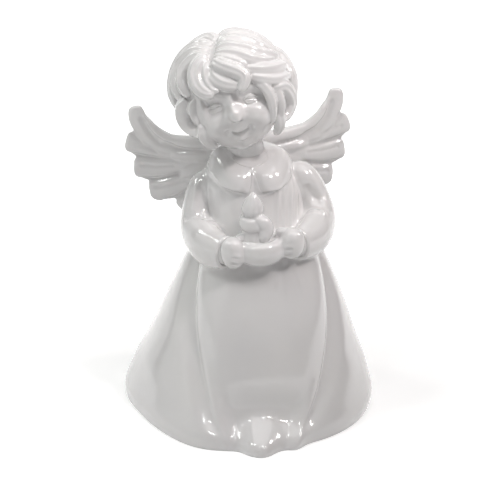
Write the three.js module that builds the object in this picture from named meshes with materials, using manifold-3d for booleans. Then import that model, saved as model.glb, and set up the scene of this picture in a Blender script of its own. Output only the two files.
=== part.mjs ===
// A slip-cast porcelain angel: hollow robe, head, hair, wings, sleeves, hands and a candle on a dish.
// Millimetres, +Z up. The figure looks towards -Y and stands on z = 0.
import * as THREE from 'three';
import { mergeVertices } from 'three/addons/utils/BufferGeometryUtils.js';
import Module from 'manifold-3d';

const wasm = await Module();
wasm.setup();

// Driving sizes of the castings
const clearance = 0.3;
const wall = 3.5;
const overrun = 4;

const robeHeight = 82;
const hemRadius = 39.5;
const shoulderHalfWidth = 15.4;
const chestHalfDepth = 12.5;
const bodyLean = 2.3;
const bodySway = 1.6;
const pleatReach = 5.7;
const hemSwell = 3;
const hemHollow = 1.4;
const panelRise = 2.9;
const hemRuffle = 2.4;
const grooveDepth = 1.9;
const grooveLip = 0.25;
const creaseDepth = 4;
const seatDepth = 3.6;

const neckRadius = 5.2;
const spigotRadius = 4.2;
const collarReach = 13.7;
const collarNeckRadius = 6.4;
const collarThickness = 3.6;
const collarBulge = 1.1;
const collarSlope = 5.8;
const collarNeckDrop = 1.8;
const collarFrontDrop = 4;
const collarBackDrop = 1.6;
const collarLobe = 1.8;
const collarNotch = 1.1;
const collarNotchLift = 0.8;

const headHalfWidth = 15.3;
const headHalfDepth = 16.5;
const headHalfHeight = 17;
const headRise = 18.4;
const headShift = 7.3;
const headForward = 2;
const headLeanAngle = -12;
const headNodAngle = -16;
const headTurnAngle = -2;
const faceTiltAngle = 7;
const hairDepth = 3;
const lockThickness = 3.8;

const armForward = 20.8;
const sleeveHalfWidth = 5.6;
const sleeveHalfHeight = 6.8;
const cuffDepth = 2;
const cuffRim = 1;
const wristHalfWidth = 2.7;
const wristHalfHeight = 3.5;
const fistHalfWidth = 3.6;
const fistHalfHeight = 4.4;
const fingerRadius = 1.3;
const thumbRadius = 1.4;

const dishRadius = 7.3;
const dishHeight = 7.6;
const dishLevelShare = 0.649;
const dishAside = 1;
const dishTiltAngle = 7;
const dishSocketDepth = 1.2;
const candleRadius = 3.4;
const candleHeight = 9;
const candleAside = 2.6;
const dripRadius = 2.2;
const wellDepth = 0.7;
const flameHalfWidth = 3.3;
const flameHeight = 7.8;
const wickRadius = 0.9;

const wingReach = 35.3;
const wingThickness = 3.4;
const wingSweepAngle = 9;
const wingRollAngle = 5;
const wingBack = 13;
const wingAside = 3.2;
const tenonRadius = 2.4;
const tenonReach = 4.6;

// Mesh fineness
const robeAround = 50;
const robeAlong = 21;
const hollowAround = 22;
const hollowAlong = 9;
const headAround = 30;
const headAlong = 21;
const scalpAround = 18;
const scalpAlong = 11;
const capAround = 22;
const capAlong = 13;

const porcelain = { color: 0xf2f0ee, roughness: 0.08, metalness: 0 };
const half = 0.5;
const fullTurn = 2 * Math.PI;
const degree = Math.PI / 180;

// Small numeric forms
const bump = (value, middle, spread) => Math.exp(-(((value - middle) / spread) ** 2));
const smooth = (value, from, to) => THREE.MathUtils.smoothstep((value - from) / (to - from), 0, 1);
const mix = THREE.MathUtils.lerp;

// Welds the seam of a grid and turns its faces outward.
function weld(geometry) {
  geometry.deleteAttribute('normal');
  geometry.deleteAttribute('uv');
  const welded = mergeVertices(geometry);
  const index = welded.index.array;
  const corner = [new THREE.Vector3(), new THREE.Vector3(), new THREE.Vector3()];
  let volume = 0;
  for (let face = 0; face < index.length; face += 3) {
    corner.forEach((point, turn) => point.fromBufferAttribute(welded.attributes.position, index[face + turn]));
    volume += corner[0].dot(corner[1].cross(corner[2]));
  }
  if (volume < 0) {
    index.reverse();
  }
  return welded;
}

// A closed skin: a sphere's grid with each point moved to place(turn, rise).
// turn runs once round from 0 to 1 and rise runs from one pole to the other.
function skin(around, along, place) {
  const geometry = new THREE.SphereGeometry(1, around, along);
  const points = geometry.attributes.position;
  for (let ring = 0; ring <= along; ring += 1) {
    const atPole = ring === 0 || ring === along;
    for (let step = 0; step <= around; step += 1) {
      const turn = atPole ? 0 : (step % around) / around;
      const point = place(turn, ring / along);
      points.setXYZ(ring * (around + 1) + step, point.x, point.y, point.z);
    }
  }
  return weld(geometry);
}

// A closed hoop: a ring's grid with each point moved to place(turn, side).
function hoop(around, sides, place) {
  const geometry = new THREE.TorusGeometry(1, half, sides, around);
  const points = geometry.attributes.position;
  for (let side = 0; side <= sides; side += 1) {
    for (let step = 0; step <= around; step += 1) {
      const point = place((step % around) / around, (side % sides) / sides);
      points.setXYZ(side * (around + 1) + step, point.x, point.y, point.z);
    }
  }
  return weld(geometry);
}

// Pushes a skin out along its normals, so that a cut made with it leaves a gap.
function pushedOut(geometry, gap) {
  const pushed = geometry.clone();
  pushed.computeVertexNormals();
  const points = pushed.attributes.position;
  const normals = pushed.attributes.normal;
  for (let i = 0; i < points.count; i += 1) {
    points.setXYZ(
      i,
      points.getX(i) + gap * normals.getX(i),
      points.getY(i) + gap * normals.getY(i),
      points.getZ(i) + gap * normals.getZ(i),
    );
  }
  pushed.deleteAttribute('normal');
  return pushed;
}

// One solid from skins that run into one another, grown by a gap where it serves as a cutter.
function solidOf(skins, gap = 0) {
  const solids = skins.map((geometry) => {
    const shape = gap > 0 ? pushedOut(geometry, gap) : geometry;
    const vertProperties = new Float32Array(shape.attributes.position.array);
    const triVerts = new Uint32Array(shape.index.array);
    return new wasm.Manifold(new wasm.Mesh({ numProp: 3, vertProperties, triVerts }));
  });
  return solids.reduce((whole, next) => whole.add(next));
}

// Takes every cutter away from a solid.
function cut(solid, cutters) {
  return cutters.reduce((left, cutter) => left.subtract(cutter), solid);
}

// The named mesh of a finished solid. Only its largest body stays: cutters can leave crumbs.
function meshOf(name, solid) {
  const bodies = solid.decompose().sort((one, other) => other.volume() - one.volume());
  const { numProp, vertProperties, triVerts } = bodies[0].getMesh();
  const geometry = new THREE.BufferGeometry();
  geometry.setAttribute('position', new THREE.BufferAttribute(vertProperties, numProp));
  geometry.setIndex(new THREE.BufferAttribute(triVerts, 1));
  geometry.computeVertexNormals();
  const mesh = new THREE.Mesh(geometry, new THREE.MeshStandardMaterial(porcelain));
  mesh.name = name;
  return mesh;
}

// Skins carried from a turned group's own frame to the frame round it.
function carried(skins, matrix) {
  return skins.map((geometry) => geometry.clone().applyMatrix4(matrix));
}

// A rounded strand along a path, such as a lock, a feather or a finger. Its width lies across the
// path and its thickness along outward(point). Its section bends round a ball of radius bend.
function strand({
  path, outward, halfWidth, halfThickness, taperShare = 0, bluntShare = 0.6, bend = Infinity, around = 8, along = 7,
}) {
  return skin(around, along, (turn, rise) => {
    const reach = (1 - Math.cos(Math.PI * rise)) * half;
    const round = Math.sin(Math.PI * rise) ** bluntShare * (1 - taperShare * reach);
    const point = path.getPointAt(reach);
    const ahead = path.getTangentAt(reach);
    const side = ahead.clone().cross(outward(point)).normalize();
    const lift = side.clone().cross(ahead);
    const aside = Math.cos(turn * fullTurn) * halfWidth * round;
    const above = Math.sin(turn * fullTurn) * halfThickness * round;
    return point
      .addScaledVector(side, aside)
      .addScaledVector(lift, above - aside ** 2 / bend * half);
  });
}

const curveOf = (points) => new THREE.CatmullRomCurve3(points);
const vector = (x, y, z) => new THREE.Vector3(x, y, z);

// Robe
// Each row gives the height as a share of robeHeight, the share of hemRadius that every side has,
// and what the torso adds to the side, front and back as shares of its own half width and depth.
const robeShares = [
  { height: 0, hem: 0.985, side: 0, front: 0.1, back: 0 },
  { height: 0.018, hem: 0.997, side: 0, front: 0.1, back: 0 },
  { height: 0.05, hem: 1, side: 0, front: 0.08, back: 0 },
  { height: 0.1, hem: 0.968, side: 0, front: 0.03, back: 0 },
  { height: 0.174, hem: 0.91, side: 0, front: 0, back: -0.02 },
  { height: 0.272, hem: 0.82, side: 0, front: 0, back: -0.06 },
  { height: 0.434, hem: 0.675, side: 0.03, front: 0, back: -0.08 },
  { height: 0.585, hem: 0.41, side: 0.36, front: 0.46, back: 0.25 },
  { height: 0.7, hem: 0.17, side: 0.68, front: 0.87, back: 0.7 },
  { height: 0.8, hem: 0, side: 1, front: 1.14, back: 1.04 },
  { height: 0.875, hem: 0, side: 0.95, front: 1.03, back: 0.98 },
  { height: 0.93, hem: 0, side: 0.8, front: 0.9, back: 0.88 },
  { height: 0.968, hem: 0, side: 0.6, front: 0.7, back: 0.7 },
  { height: 0.99, hem: 0, side: 0.46, front: 0.56, back: 0.56 },
  { height: 1, hem: 0, side: 0.4, front: 0.48, back: 0.48 },
];
const robeLine = (torsoShare, torsoSize) => new THREE.SplineCurve(robeShares.map((row) => new THREE.Vector2(
  row.height * robeHeight,
  row.hem * hemRadius + row[torsoShare] * torsoSize,
)));
const sideLine = robeLine('side', shoulderHalfWidth);
const frontLine = robeLine('front', chestHalfDepth);
const backLine = robeLine('back', chestHalfDepth);

// The front gown is a long oval between two grooves that draw together towards the hem.
const panelStartAngle = 14.5 * degree;
const panelWidening = 89 * degree;
const panelShares = { top: 0.45, spread: 0.183 };
const creaseShares = { height: 0.108, fall: 0.05, above: 0.085, below: 0.05 };
const grooveShares = {
  width: 0.08, lip: 2.6, lipWidth: 1.7, fadeLow: 0.03, fadeLowEnd: 0.1, fadeHigh: 0.58, fadeHighEnd: 0.74,
};
const pleatShares = {
  top: 0.14, angle: -0.8 * degree, spread: 8 * degree, ruffle: 14 * degree, ruffleSpread: 5.5 * degree,
};
const hemShares = { top: 0.22, swell: -26 * degree, swellSpread: 17 * degree, hollow: -70 * degree };

// How far the cloth stands out from the plain cone, from the angle round and the height share.
function robeRelief(angle, heightShare) {
  const edge = panelStartAngle + panelWidening * heightShare;
  const across = Math.abs(angle) / edge;
  const inside = 1 - smooth(across, 0.55, 1);
  const creaseHeight = creaseShares.height - creaseShares.fall * Math.min(across, 1) ** 2;
  const creaseSpread = heightShare > creaseHeight ? creaseShares.above : creaseShares.below;
  const crease = creaseDepth * bump(heightShare, creaseHeight, creaseSpread);
  const rise = panelRise * bump(heightShare, panelShares.top, panelShares.spread);
  const run = smooth(heightShare, grooveShares.fadeLow, grooveShares.fadeLowEnd)
    * (1 - smooth(heightShare, grooveShares.fadeHigh, grooveShares.fadeHighEnd));
  const groove = run * grooveDepth * bump(across, 1, grooveShares.width);
  const lipPlace = 1 + grooveShares.lip * grooveShares.width;
  const lip = run * grooveLip * bump(across, lipPlace, grooveShares.lipWidth * grooveShares.width);
  const pleatFade = 1 - smooth(heightShare, 0, pleatShares.top);
  const pleat = pleatReach * pleatFade * bump(angle, pleatShares.angle, pleatShares.spread)
    + hemRuffle * pleatFade * bump(angle, pleatShares.ruffle, pleatShares.ruffleSpread);
  const hemFade = 1 - smooth(heightShare, 0, hemShares.top);
  const swell = hemSwell * hemFade * bump(angle, hemShares.swell, hemShares.swellSpread);
  const hollow = hemHollow * hemFade * bump(angle, hemShares.hollow, hemShares.swellSpread);
  return (rise - crease) * inside - groove + lip + pleat + swell - hollow;
}

// The columns of the robe's grid follow the grooves and crowd beside them. The front is at turn 0.5.
const columnShares = { panel: 0.46, panelCrowding: 1.4, sideCrowding: 1.35 };
function robeAngle(turn, heightShare) {
  const edge = panelStartAngle + panelWidening * heightShare;
  const share = Math.abs(2 * turn - 1);
  const onPanel = Math.min(share / columnShares.panel, 1);
  const beside = Math.max(share - columnShares.panel, 0) / (1 - columnShares.panel);
  const angle = edge * (1 - (1 - onPanel) ** columnShares.panelCrowding)
    + (Math.PI - edge) * beside ** columnShares.sideCrowding;
  return Math.sign(turn - half) * angle;
}

// A point of the robe's surface, or of a surface thinner by inset.
function robePoint(turn, rowShare, inset = 0) {
  const side = sideLine.getPoint(rowShare);
  const height = side.x;
  const heightShare = height / robeHeight;
  const angle = robeAngle(turn, heightShare);
  const depth = Math.cos(angle) > 0 ? frontLine.getPoint(rowShare).y : backLine.getPoint(rowShare).y;
  const relief = robeRelief(angle, heightShare) - inset;
  const lean = bodyLean * smooth(heightShare, 0.7, 1);
  const sway = bodySway * Math.sin(Math.PI * Math.min(heightShare / 0.95, 1));
  return vector(
    (side.y + relief) * Math.sin(angle) + sway - lean,
    -(depth + relief) * Math.cos(angle),
    height,
  );
}

// The outer skin closes on a flat disc at each end.
const robeSkin = skin(robeAround, robeAlong, (turn, rise) => {
  const row = THREE.MathUtils.clamp((rise * robeAlong - 1) / (robeAlong - 2), 0, 1);
  const point = robePoint(turn, row);
  if (rise === 0 || rise === 1) {
    return vector(rise === 1 ? -bodyLean : 0, 0, point.z);
  }
  return point;
});

// The hollow runs from below the foot to under the neck seat, one wall inside the cloth.
const hollowTopShare = 0.8;
const hollowDomeShare = 0.55;
const hollowSkin = skin(hollowAround, hollowAlong, (turn, rise) => {
  const row = rise * hollowTopShare;
  const point = robePoint(turn, row, wall);
  const dome = Math.sqrt(1 - smooth(rise, hollowDomeShare, 1) ** 2);
  const open = rise === 0 ? 0 : 1;
  return vector(point.x * dome * open, point.y * dome * open, rise < 2 / hollowAlong ? point.z - overrun : point.z);
});

// Head, in its own tilted frame with the skull's middle at its origin
const headCentre = vector(-headShift, -headForward, robeHeight + headRise);
const headTurn = new THREE.Euler(headNodAngle * degree, headLeanAngle * degree, headTurnAngle * degree, 'ZYX');
const headPlacement = new THREE.Matrix4().compose(
  headCentre,
  new THREE.Quaternion().setFromEuler(headTurn),
  new THREE.Vector3().setScalar(1),
);

// Each feature: place across and up, rise, and spread across and up, in shares of headHalfWidth.
// The features sit a little aslant on the skull, by the face's tilt and its drift to one side.
const faceTilt = faceTiltAngle * degree;
const faceDriftShare = -0.055;
const faceShares = [
  { across: 0, up: -0.39, rise: 0.19, wide: 0.13, tall: 0.13 },
  { across: 0, up: -0.17, rise: 0.07, wide: 0.09, tall: 0.2 },
  { across: 0.35, up: -0.15, rise: -0.1, wide: 0.24, tall: 0.15 },
  { across: 0.35, up: -0.19, rise: 0.08, wide: 0.14, tall: 0.09 },
  { across: 0.34, up: 0.08, rise: 0.035, wide: 0.24, tall: 0.08 },
  { across: 0.46, up: -0.53, rise: 0.12, wide: 0.26, tall: 0.23 },
  { across: 0, up: -0.68, rise: 0.045, wide: 0.16, tall: 0.05 },
  { across: 0.11, up: -0.74, rise: -0.055, wide: 0.12, tall: 0.045 },
  { across: 0, up: -0.83, rise: 0.06, wide: 0.13, tall: 0.055 },
  { across: 0, up: -1.02, rise: 0.08, wide: 0.19, tall: 0.13 },
];

// How far the face stands out from the plain skull at a place across and up.
function faceRelief(across, up) {
  return headHalfWidth * faceShares.reduce((sum, part) => {
    const sides = part.across === 0 ? [0] : [part.across, -part.across];
    return sum + part.rise * bump(up, part.up, part.tall)
      * sides.reduce((all, side) => all + bump(across, side, part.wide), 0);
  }, 0);
}

// The rings start at the face, where they lie closest, and end at the back of the skull.
const ringCrowding = 0.36;
const headSkin = skin(headAround, headAlong, (turn, rise) => {
  const tilt = Math.PI * mix(rise * rise, rise, ringCrowding);
  const angle = turn * fullTurn;
  const direction = vector(Math.sin(tilt) * Math.sin(angle), -Math.cos(tilt), Math.sin(tilt) * Math.cos(angle));
  const point = direction.clone().multiply(vector(headHalfWidth, headHalfDepth, headHalfHeight));
  const low = smooth(-point.z / headHalfHeight, 0.2, 1);
  point.x *= 1 - 0.1 * low;
  const facing = Math.max(-direction.y, 0);
  const across = (point.x * Math.cos(faceTilt) + point.z * Math.sin(faceTilt)) / headHalfWidth - faceDriftShare;
  const up = (point.z * Math.cos(faceTilt) - point.x * Math.sin(faceTilt)) / headHalfWidth;
  const relief = faceRelief(across, up) * smooth(facing, 0, half);
  return point.addScaledVector(direction, relief);
});

// The neck and its spigot stand upright in the body's frame, under the tilted skull.
const neckAlong = 7;
const neckFoot = vector(-bodyLean, 0, robeHeight - seatDepth);
const neckTop = vector(mix(-bodyLean, -headShift, 0.7), -headForward * half, robeHeight + headRise * half);
const neckSkin = skin(14, neckAlong, (turn, rise) => {
  const row = THREE.MathUtils.clamp((rise * neckAlong - 1) / (neckAlong - 2), 0, 1);
  const shoulder = (seatDepth + clearance) / (neckTop.z - neckFoot.z);
  const radius = row < shoulder ? spigotRadius : neckRadius;
  const open = rise === 0 || rise === 1 ? 0 : radius;
  const level = row < 0.15 ? row : Math.max(row, shoulder);
  const middle = neckFoot.clone().lerp(neckTop, level);
  return vector(
    middle.x + open * Math.sin(turn * fullTurn),
    middle.y + open * Math.cos(turn * fullTurn),
    middle.z,
  );
});

// The plain scalp under the hair stands clear of the skull by half as much again.
const scalpGap = 1.8 * clearance;
const scalpSkin = skin(scalpAround, scalpAlong, (turn, rise) => {
  const tilt = Math.PI * rise;
  const angle = turn * fullTurn;
  return vector(
    (headHalfWidth + scalpGap) * Math.sin(tilt) * Math.sin(angle),
    (headHalfDepth + scalpGap) * Math.sin(tilt) * Math.cos(angle),
    (headHalfHeight + scalpGap) * Math.cos(tilt),
  );
});

// Hair, in the head's frame: a cap with locks laid over it
// A place on the hair ball from the angle round (0 is the face, + is its left) and the angle up.
function hairPoint(roundAngle, upAngle, radius) {
  const round = roundAngle * degree;
  const up = upAngle * degree;
  return vector(Math.sin(round) * Math.cos(up), -Math.cos(round) * Math.cos(up), Math.sin(up)).multiplyScalar(radius);
}

const hairRadius = Math.max(headHalfWidth, headHalfDepth, headHalfHeight) + hairDepth;
const capRadius = hairRadius - lockThickness * 0.6;
const wholeAngle = 360;
const faceWindow = { middle: 2, inner: 29, outer: 37, low: 4, high: 11 };
const napeEdge = { front: -26, behind: -44, turnStart: 60, turnEnd: 120, fade: 9 };
const capSkin = skin(capAround, capAlong, (turn, rise) => {
  const round = (turn - half) * wholeAngle;
  const up = (half - rise) * half * wholeAngle;
  const beside = smooth(Math.abs(round - faceWindow.middle), faceWindow.inner, faceWindow.outer);
  const above = smooth(up, faceWindow.low, faceWindow.high);
  const behind = smooth(Math.abs(round), napeEdge.turnStart, napeEdge.turnEnd);
  const nape = mix(napeEdge.front, napeEdge.behind, behind);
  const covered = Math.max(beside, above) * smooth(up, nape - napeEdge.fade, nape);
  return hairPoint(round, up, mix(headHalfWidth * 0.7, capRadius, covered));
});

// Each lock: its turns as angles round and up, and its half width as a share of hairRadius.
// A lock with a rise lies at that share of the others' radius.
const lockShares = [
  { width: 0.2, rise: 1.03, turns: [[-22, 40], [-30, 36], [-35, 28], [-35, 19], [-31, 10], [-24, 4], [-17, 3]] },
  { width: 0.18, turns: [[-22, 47], [-45, 47], [-60, 37], [-64, 25], [-60, 13], [-51, 3]] },
  { width: 0.2, rise: 1.03, turns: [[-18, 66], [-58, 66], [-80, 51], [-87, 32], [-80, 12], [-70, -2]] },
  { width: 0.19, rise: 1.02, turns: [[-40, 4], [-50, 0], [-60, -9], [-64, -20], [-59, -30], [-48, -32]] },
  { width: 0.12, turns: [[-44, -22], [-48, -34], [-52, -46], [-50, -56]] },
  { width: 0.18, rise: 0.98, turns: [[-17, 28], [-15, 20], [-8, 13], [1, 9], [9, 8]] },
  { width: 0.19, rise: 1.05, turns: [[-14, 36], [-8, 29], [0, 24], [8, 19], [12, 13], [10, 6], [5, 1]] },
  { width: 0.18, turns: [[-16, 44], [0, 38], [14, 32], [28, 25]] },
  { width: 0.21, turns: [[-16, 56], [10, 53], [34, 40], [52, 29], [67, 20]] },
  { width: 0.21, rise: 1.02, turns: [[-15, 70], [26, 69], [57, 54], [66, 39], [72, 28]] },
  { width: 0.17, turns: [[16, 23], [30, 17], [45, 15], [62, 15], [78, 17]] },
  { width: 0.15, rise: 0.99, turns: [[20, 14], [31, 8], [45, 5], [60, 6], [74, 5]] },
  { width: 0.17, turns: [[41, -2], [52, -1], [63, -8], [71, -18], [68, -30]] },
  { width: 0.12, turns: [[24, 10], [32, 0], [37, -13], [40, -26], [43, -37]] },
  { width: 0.13, turns: [[52, -26], [59, -40], [68, -53]] },
  { width: 0.21, rise: 0.95, turns: [[-104, 48], [-114, 26], [-104, 4], [-112, -16], [-98, -32]] },
  { width: 0.21, turns: [[82, 42], [96, 26], [88, 6], [97, -12], [87, -28]] },
];

// Wavy locks run from the crown down the back of the head to the nape.
const backLockAngles = [128, 162, 196, 232];
const backLockTurns = [[-14, 66], [6, 42], [-7, 18], [7, -4], [-6, -24], [5, -40]];
backLockAngles.forEach((angle) => {
  lockShares.push({ width: 0.28, turns: backLockTurns.map(([round, up]) => [angle + round, up]) });
});

const lockSkins = lockShares.map(({ width, rise = 1, turns }) => strand({
  path: curveOf(turns.map(([round, up], i) => {
    const sunk = i === 0 ? lockThickness * 0.25 : 0;
    return hairPoint(round, up, (hairRadius - lockThickness * half) * rise - sunk);
  })),
  outward: (point) => point,
  halfWidth: width * hairRadius,
  halfThickness: lockThickness * half,
  taperShare: 0.3,
  bend: hairRadius,
  around: 6,
  along: 6,
}));

// Collar: a hoop with a soft section, drawn out into two lobes with a notch between them in front
const collarAngles = { lobe: 27 * degree, lobeSpread: 22 * degree, notch: 8 * degree };
const collarSkin = hoop(38, 7, (turn, side) => {
  const angle = (turn - half) * fullTurn;
  const front = Math.max(Math.cos(angle), 0);
  const back = Math.max(-Math.cos(angle), 0);
  const notch = bump(angle, 0, collarAngles.notch);
  const lobe = bump(Math.abs(angle), collarAngles.lobe, collarAngles.lobeSpread);
  const reach = collarReach + collarLobe * lobe - collarNotch * notch;
  const drop = collarSlope + collarFrontDrop * front + collarBackDrop * back - collarNotchLift * notch;
  const neckDrop = collarNeckDrop * front ** 2;
  const turnOfSection = side * fullTurn;
  const outwardShare = (1 - Math.cos(turnOfSection)) * half;
  const slope = Math.atan2(drop - neckDrop, reach - collarNeckRadius);
  const lift = collarThickness * half * (Math.sin(turnOfSection) - 1)
    + collarBulge * Math.sin(Math.PI * outwardShare);
  const radius = mix(collarNeckRadius, reach, outwardShare) + lift * Math.sin(slope);
  const level = robeHeight + collarThickness * half - mix(neckDrop, drop, outwardShare) + lift * Math.cos(slope);
  const lean = mix(bodyLean, bodyLean * half, outwardShare);
  return vector(radius * Math.sin(angle) - lean, -radius * Math.cos(angle), level);
});

// Sleeves
// Each station of an arm: across as a share of shoulderHalfWidth, forward of armForward and up of
// robeHeight, then the half width and half height as shares of the sleeve's own.
const sleeveShares = {
  left_sleeve: [
    { across: -0.68, forward: -0.02, up: 0.902, wide: 0.72, tall: 0.62 },
    { across: -0.97, forward: -0.015, up: 0.86, wide: 0.83, tall: 0.7 },
    { across: -1.12, forward: 0.05, up: 0.787, wide: 0.8, tall: 0.8 },
    { across: -1.12, forward: 0.24, up: 0.71, wide: 0.95, tall: 0.98 },
    { across: -0.99, forward: 0.62, up: 0.684, wide: 0.93, tall: 0.96 },
    { across: -0.69, forward: 0.99, up: 0.684, wide: 0.72, tall: 0.77 },
  ],
  right_sleeve: [
    { across: 0.68, forward: -0.02, up: 0.93, wide: 0.74, tall: 0.66 },
    { across: 0.94, forward: -0.015, up: 0.893, wide: 0.87, tall: 0.74 },
    { across: 1.2, forward: 0.04, up: 0.813, wide: 0.89, tall: 0.8 },
    { across: 1.27, forward: 0.22, up: 0.74, wide: 1, tall: 0.95 },
    { across: 1.12, forward: 0.59, up: 0.714, wide: 0.95, tall: 0.92 },
    { across: 0.78, forward: 0.94, up: 0.706, wide: 0.72, tall: 0.74 },
  ],
};

// One arm: its centre line, its sizes along it and the way the cuff faces.
function armOf(stations) {
  const line = curveOf(stations.map(({ across, forward, up }) => vector(
    across * shoulderHalfWidth,
    -forward * armForward,
    up * robeHeight,
  )));
  const sizes = curveOf(stations.map(({ wide, tall }) => (
    vector(wide * sleeveHalfWidth, tall * sleeveHalfHeight, 0)
  )));
  return { line, sizes, cuff: line.getPoint(1), facing: line.getTangent(1) };
}

// The sleeve is round at the shoulder and ends in a flat cuff.
const sleeveAround = 14;
const sleeveAlong = 10;
function sleeveSkin({ line, sizes }) {
  return skin(sleeveAround, sleeveAlong, (turn, rise) => {
    const row = Math.min(rise * sleeveAlong / (sleeveAlong - 1), 1);
    const round = rise === 1 ? 0 : Math.sin(Math.PI * half * Math.min(row * 4, 1)) ** half;
    const point = line.getPoint(row);
    const ahead = line.getTangent(row);
    const upright = mix(0, 1, smooth(row, 0.35, 0.65));
    const up = vector(0, -(1 - upright), upright).normalize();
    const side = ahead.clone().cross(up).normalize();
    const lift = side.clone().cross(ahead);
    const size = sizes.getPoint(row);
    const angle = turn * fullTurn;
    return point
      .addScaledVector(side, Math.cos(angle) * size.x * round)
      .addScaledVector(lift, Math.sin(angle) * size.y * round);
  });
}

const straightUp = () => vector(0, 0, 1);

// The hollow in the cuff leaves a rim round the wrist.
function cuffHollow({ line, sizes, cuff, facing }) {
  const size = sizes.getPoint(1);
  const path = curveOf([
    cuff.clone().addScaledVector(facing, -cuffDepth),
    cuff.clone().addScaledVector(facing, overrun),
  ]);
  return strand({
    path,
    outward: straightUp,
    halfWidth: size.x - cuffRim,
    halfThickness: size.y - cuffRim,
    bluntShare: 0.3,
    around: 12,
    along: 6,
  });
}

// The dish leans with the hands that hold it, and the candle stands upright in its socket.
const dishLevel = dishLevelShare * robeHeight;
const dishCentre = vector(dishAside, -armForward, dishLevel);
const dishPlacement = new THREE.Matrix4().compose(
  dishCentre,
  new THREE.Quaternion().setFromAxisAngle(vector(0, 1, 0), -dishTiltAngle * degree),
  new THREE.Vector3().setScalar(1),
);

// A turned form: a lathe over a profile that starts and ends on the axis, with +Z as the axis.
function turned(profile, segments) {
  const points = profile.map(([radius, height]) => new THREE.Vector2(radius, height));
  const geometry = new THREE.LatheGeometry(points, segments);
  geometry.rotateX(Math.PI * half);
  return weld(geometry);
}

const dishShares = [
  [0, 0], [0.45, 0], [0.8, 0.16], [1, 0.5], [0.96, 0.8], [0.8, 0.97], [0.62, 1], [0.5, 0.94], [0, 0.94],
];
const dishProfile = dishShares.map(([out, up]) => [out * dishRadius, up * dishHeight]);
const dishSkin = turned(dishProfile, 22).applyMatrix4(dishPlacement);

const candleFoot = dishLevel + dishHeight * dishShares.at(-1)[1] - dishSocketDepth;
const candleTop = candleFoot + candleHeight;
const candleShares = [
  [0, 0], [0.9, 0], [0.93, 0.15], [1.02, 0.4], [1.04, 0.68], [1.06, 0.85], [0.92, 0.98], [0.72, 1],
];
const candleProfile = [
  ...candleShares.map(([out, up]) => [out * candleRadius, candleFoot + up * candleHeight]),
  [wickRadius + clearance, candleTop - wellDepth],
  [0, candleTop - wellDepth],
];
const candleShift = new THREE.Matrix4().makeTranslation(-candleAside, -armForward, 0);
const candleBody = turned(candleProfile, 16).applyMatrix4(candleShift);

// The drip hangs over the rim on the figure's left and runs down the side.
const dripOut = candleRadius + dripRadius * 0.15;
const dripPath = curveOf([
  vector(dripOut - dripRadius, -dripRadius * 0.3, candleTop - dripRadius * 0.1),
  vector(dripOut, -dripRadius * 0.5, candleTop - dripRadius * 0.7),
  vector(dripOut + dripRadius * 0.1, -dripRadius * 0.6, candleTop - dripRadius * 1.9),
  vector(dripOut - dripRadius * 0.4, -dripRadius * 0.7, candleFoot + dishSocketDepth + clearance),
]);
const dripSkin = strand({
  path: dripPath,
  outward: () => vector(1, 0, 0),
  halfWidth: dripRadius,
  halfThickness: dripRadius,
  bluntShare: 0.7,
  around: 10,
  along: 8,
}).applyMatrix4(candleShift);

// The flame is a teardrop on a short wick, and the wick stands in the candle's well.
const flameFoot = candleTop - wellDepth;
const flameShares = [
  [0, 0], [0.3, 0], [0.3, 0.1], [0.75, 0.17], [1, 0.36], [0.9, 0.56], [0.6, 0.76], [0.27, 0.92], [0, 1],
];
const flameSkin = turned(flameShares.map(([out, up]) => [
  out * flameHalfWidth,
  flameFoot + clearance + up * flameHeight,
]), 14).applyMatrix4(candleShift);

// Hands: a plump fist at each end of the dish, on a short wrist, with its fingers round the front
// and its thumb on top. Places in the fist are shares of fistHalfHeight.
const fistShares = { across: 1.19, forward: 0.27, up: 0.75 };
const fingerLevelShares = [-0.72, -0.24, 0.24, 0.68];
const fingerShares = [[-0.2, 0.4], [0.25, 0.52], [0.68, 0.32]];
const thumbShares = [[0.15, 0.2, 0.62], [0.5, 0.28, 0.68], [0.85, 0.25, 0.5]];
function handSkins({ cuff, facing }, sideSign) {
  const middle = vector(
    sideSign * fistShares.across * dishRadius,
    -fistShares.forward * dishRadius,
    fistShares.up * dishHeight,
  ).applyMatrix4(dishPlacement);
  const inFist = (inward, out, up) => middle.clone().add(
    vector(-sideSign * inward, -out, up).multiplyScalar(fistHalfHeight),
  );
  const fist = strand({
    path: curveOf([inFist(0, 0, -1), inFist(0, 0, 1)]),
    outward: () => vector(0, 1, 0),
    halfWidth: fistHalfWidth,
    halfThickness: fistHalfWidth,
    around: 12,
    along: 7,
  });
  const wrist = strand({
    path: curveOf([cuff.clone().addScaledVector(facing, -cuffDepth + clearance), cuff, middle]),
    outward: straightUp,
    halfWidth: wristHalfWidth,
    halfThickness: wristHalfHeight,
    bluntShare: 0.3,
    around: 9,
    along: 5,
  });
  const fingers = fingerLevelShares.map((level) => strand({
    path: curveOf(fingerShares.map(([inward, out]) => inFist(inward, out, level))),
    outward: straightUp,
    halfWidth: fingerRadius,
    halfThickness: fingerRadius,
    bluntShare: 0.5,
    around: 6,
    along: 4,
  }));
  const thumb = strand({
    path: curveOf(thumbShares.map(([inward, out, up]) => inFist(inward, out, up))),
    outward: straightUp,
    halfWidth: thumbRadius,
    halfThickness: thumbRadius,
    around: 6,
    along: 4,
  });
  return [fist, wrist, ...fingers, thumb];
}

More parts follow.
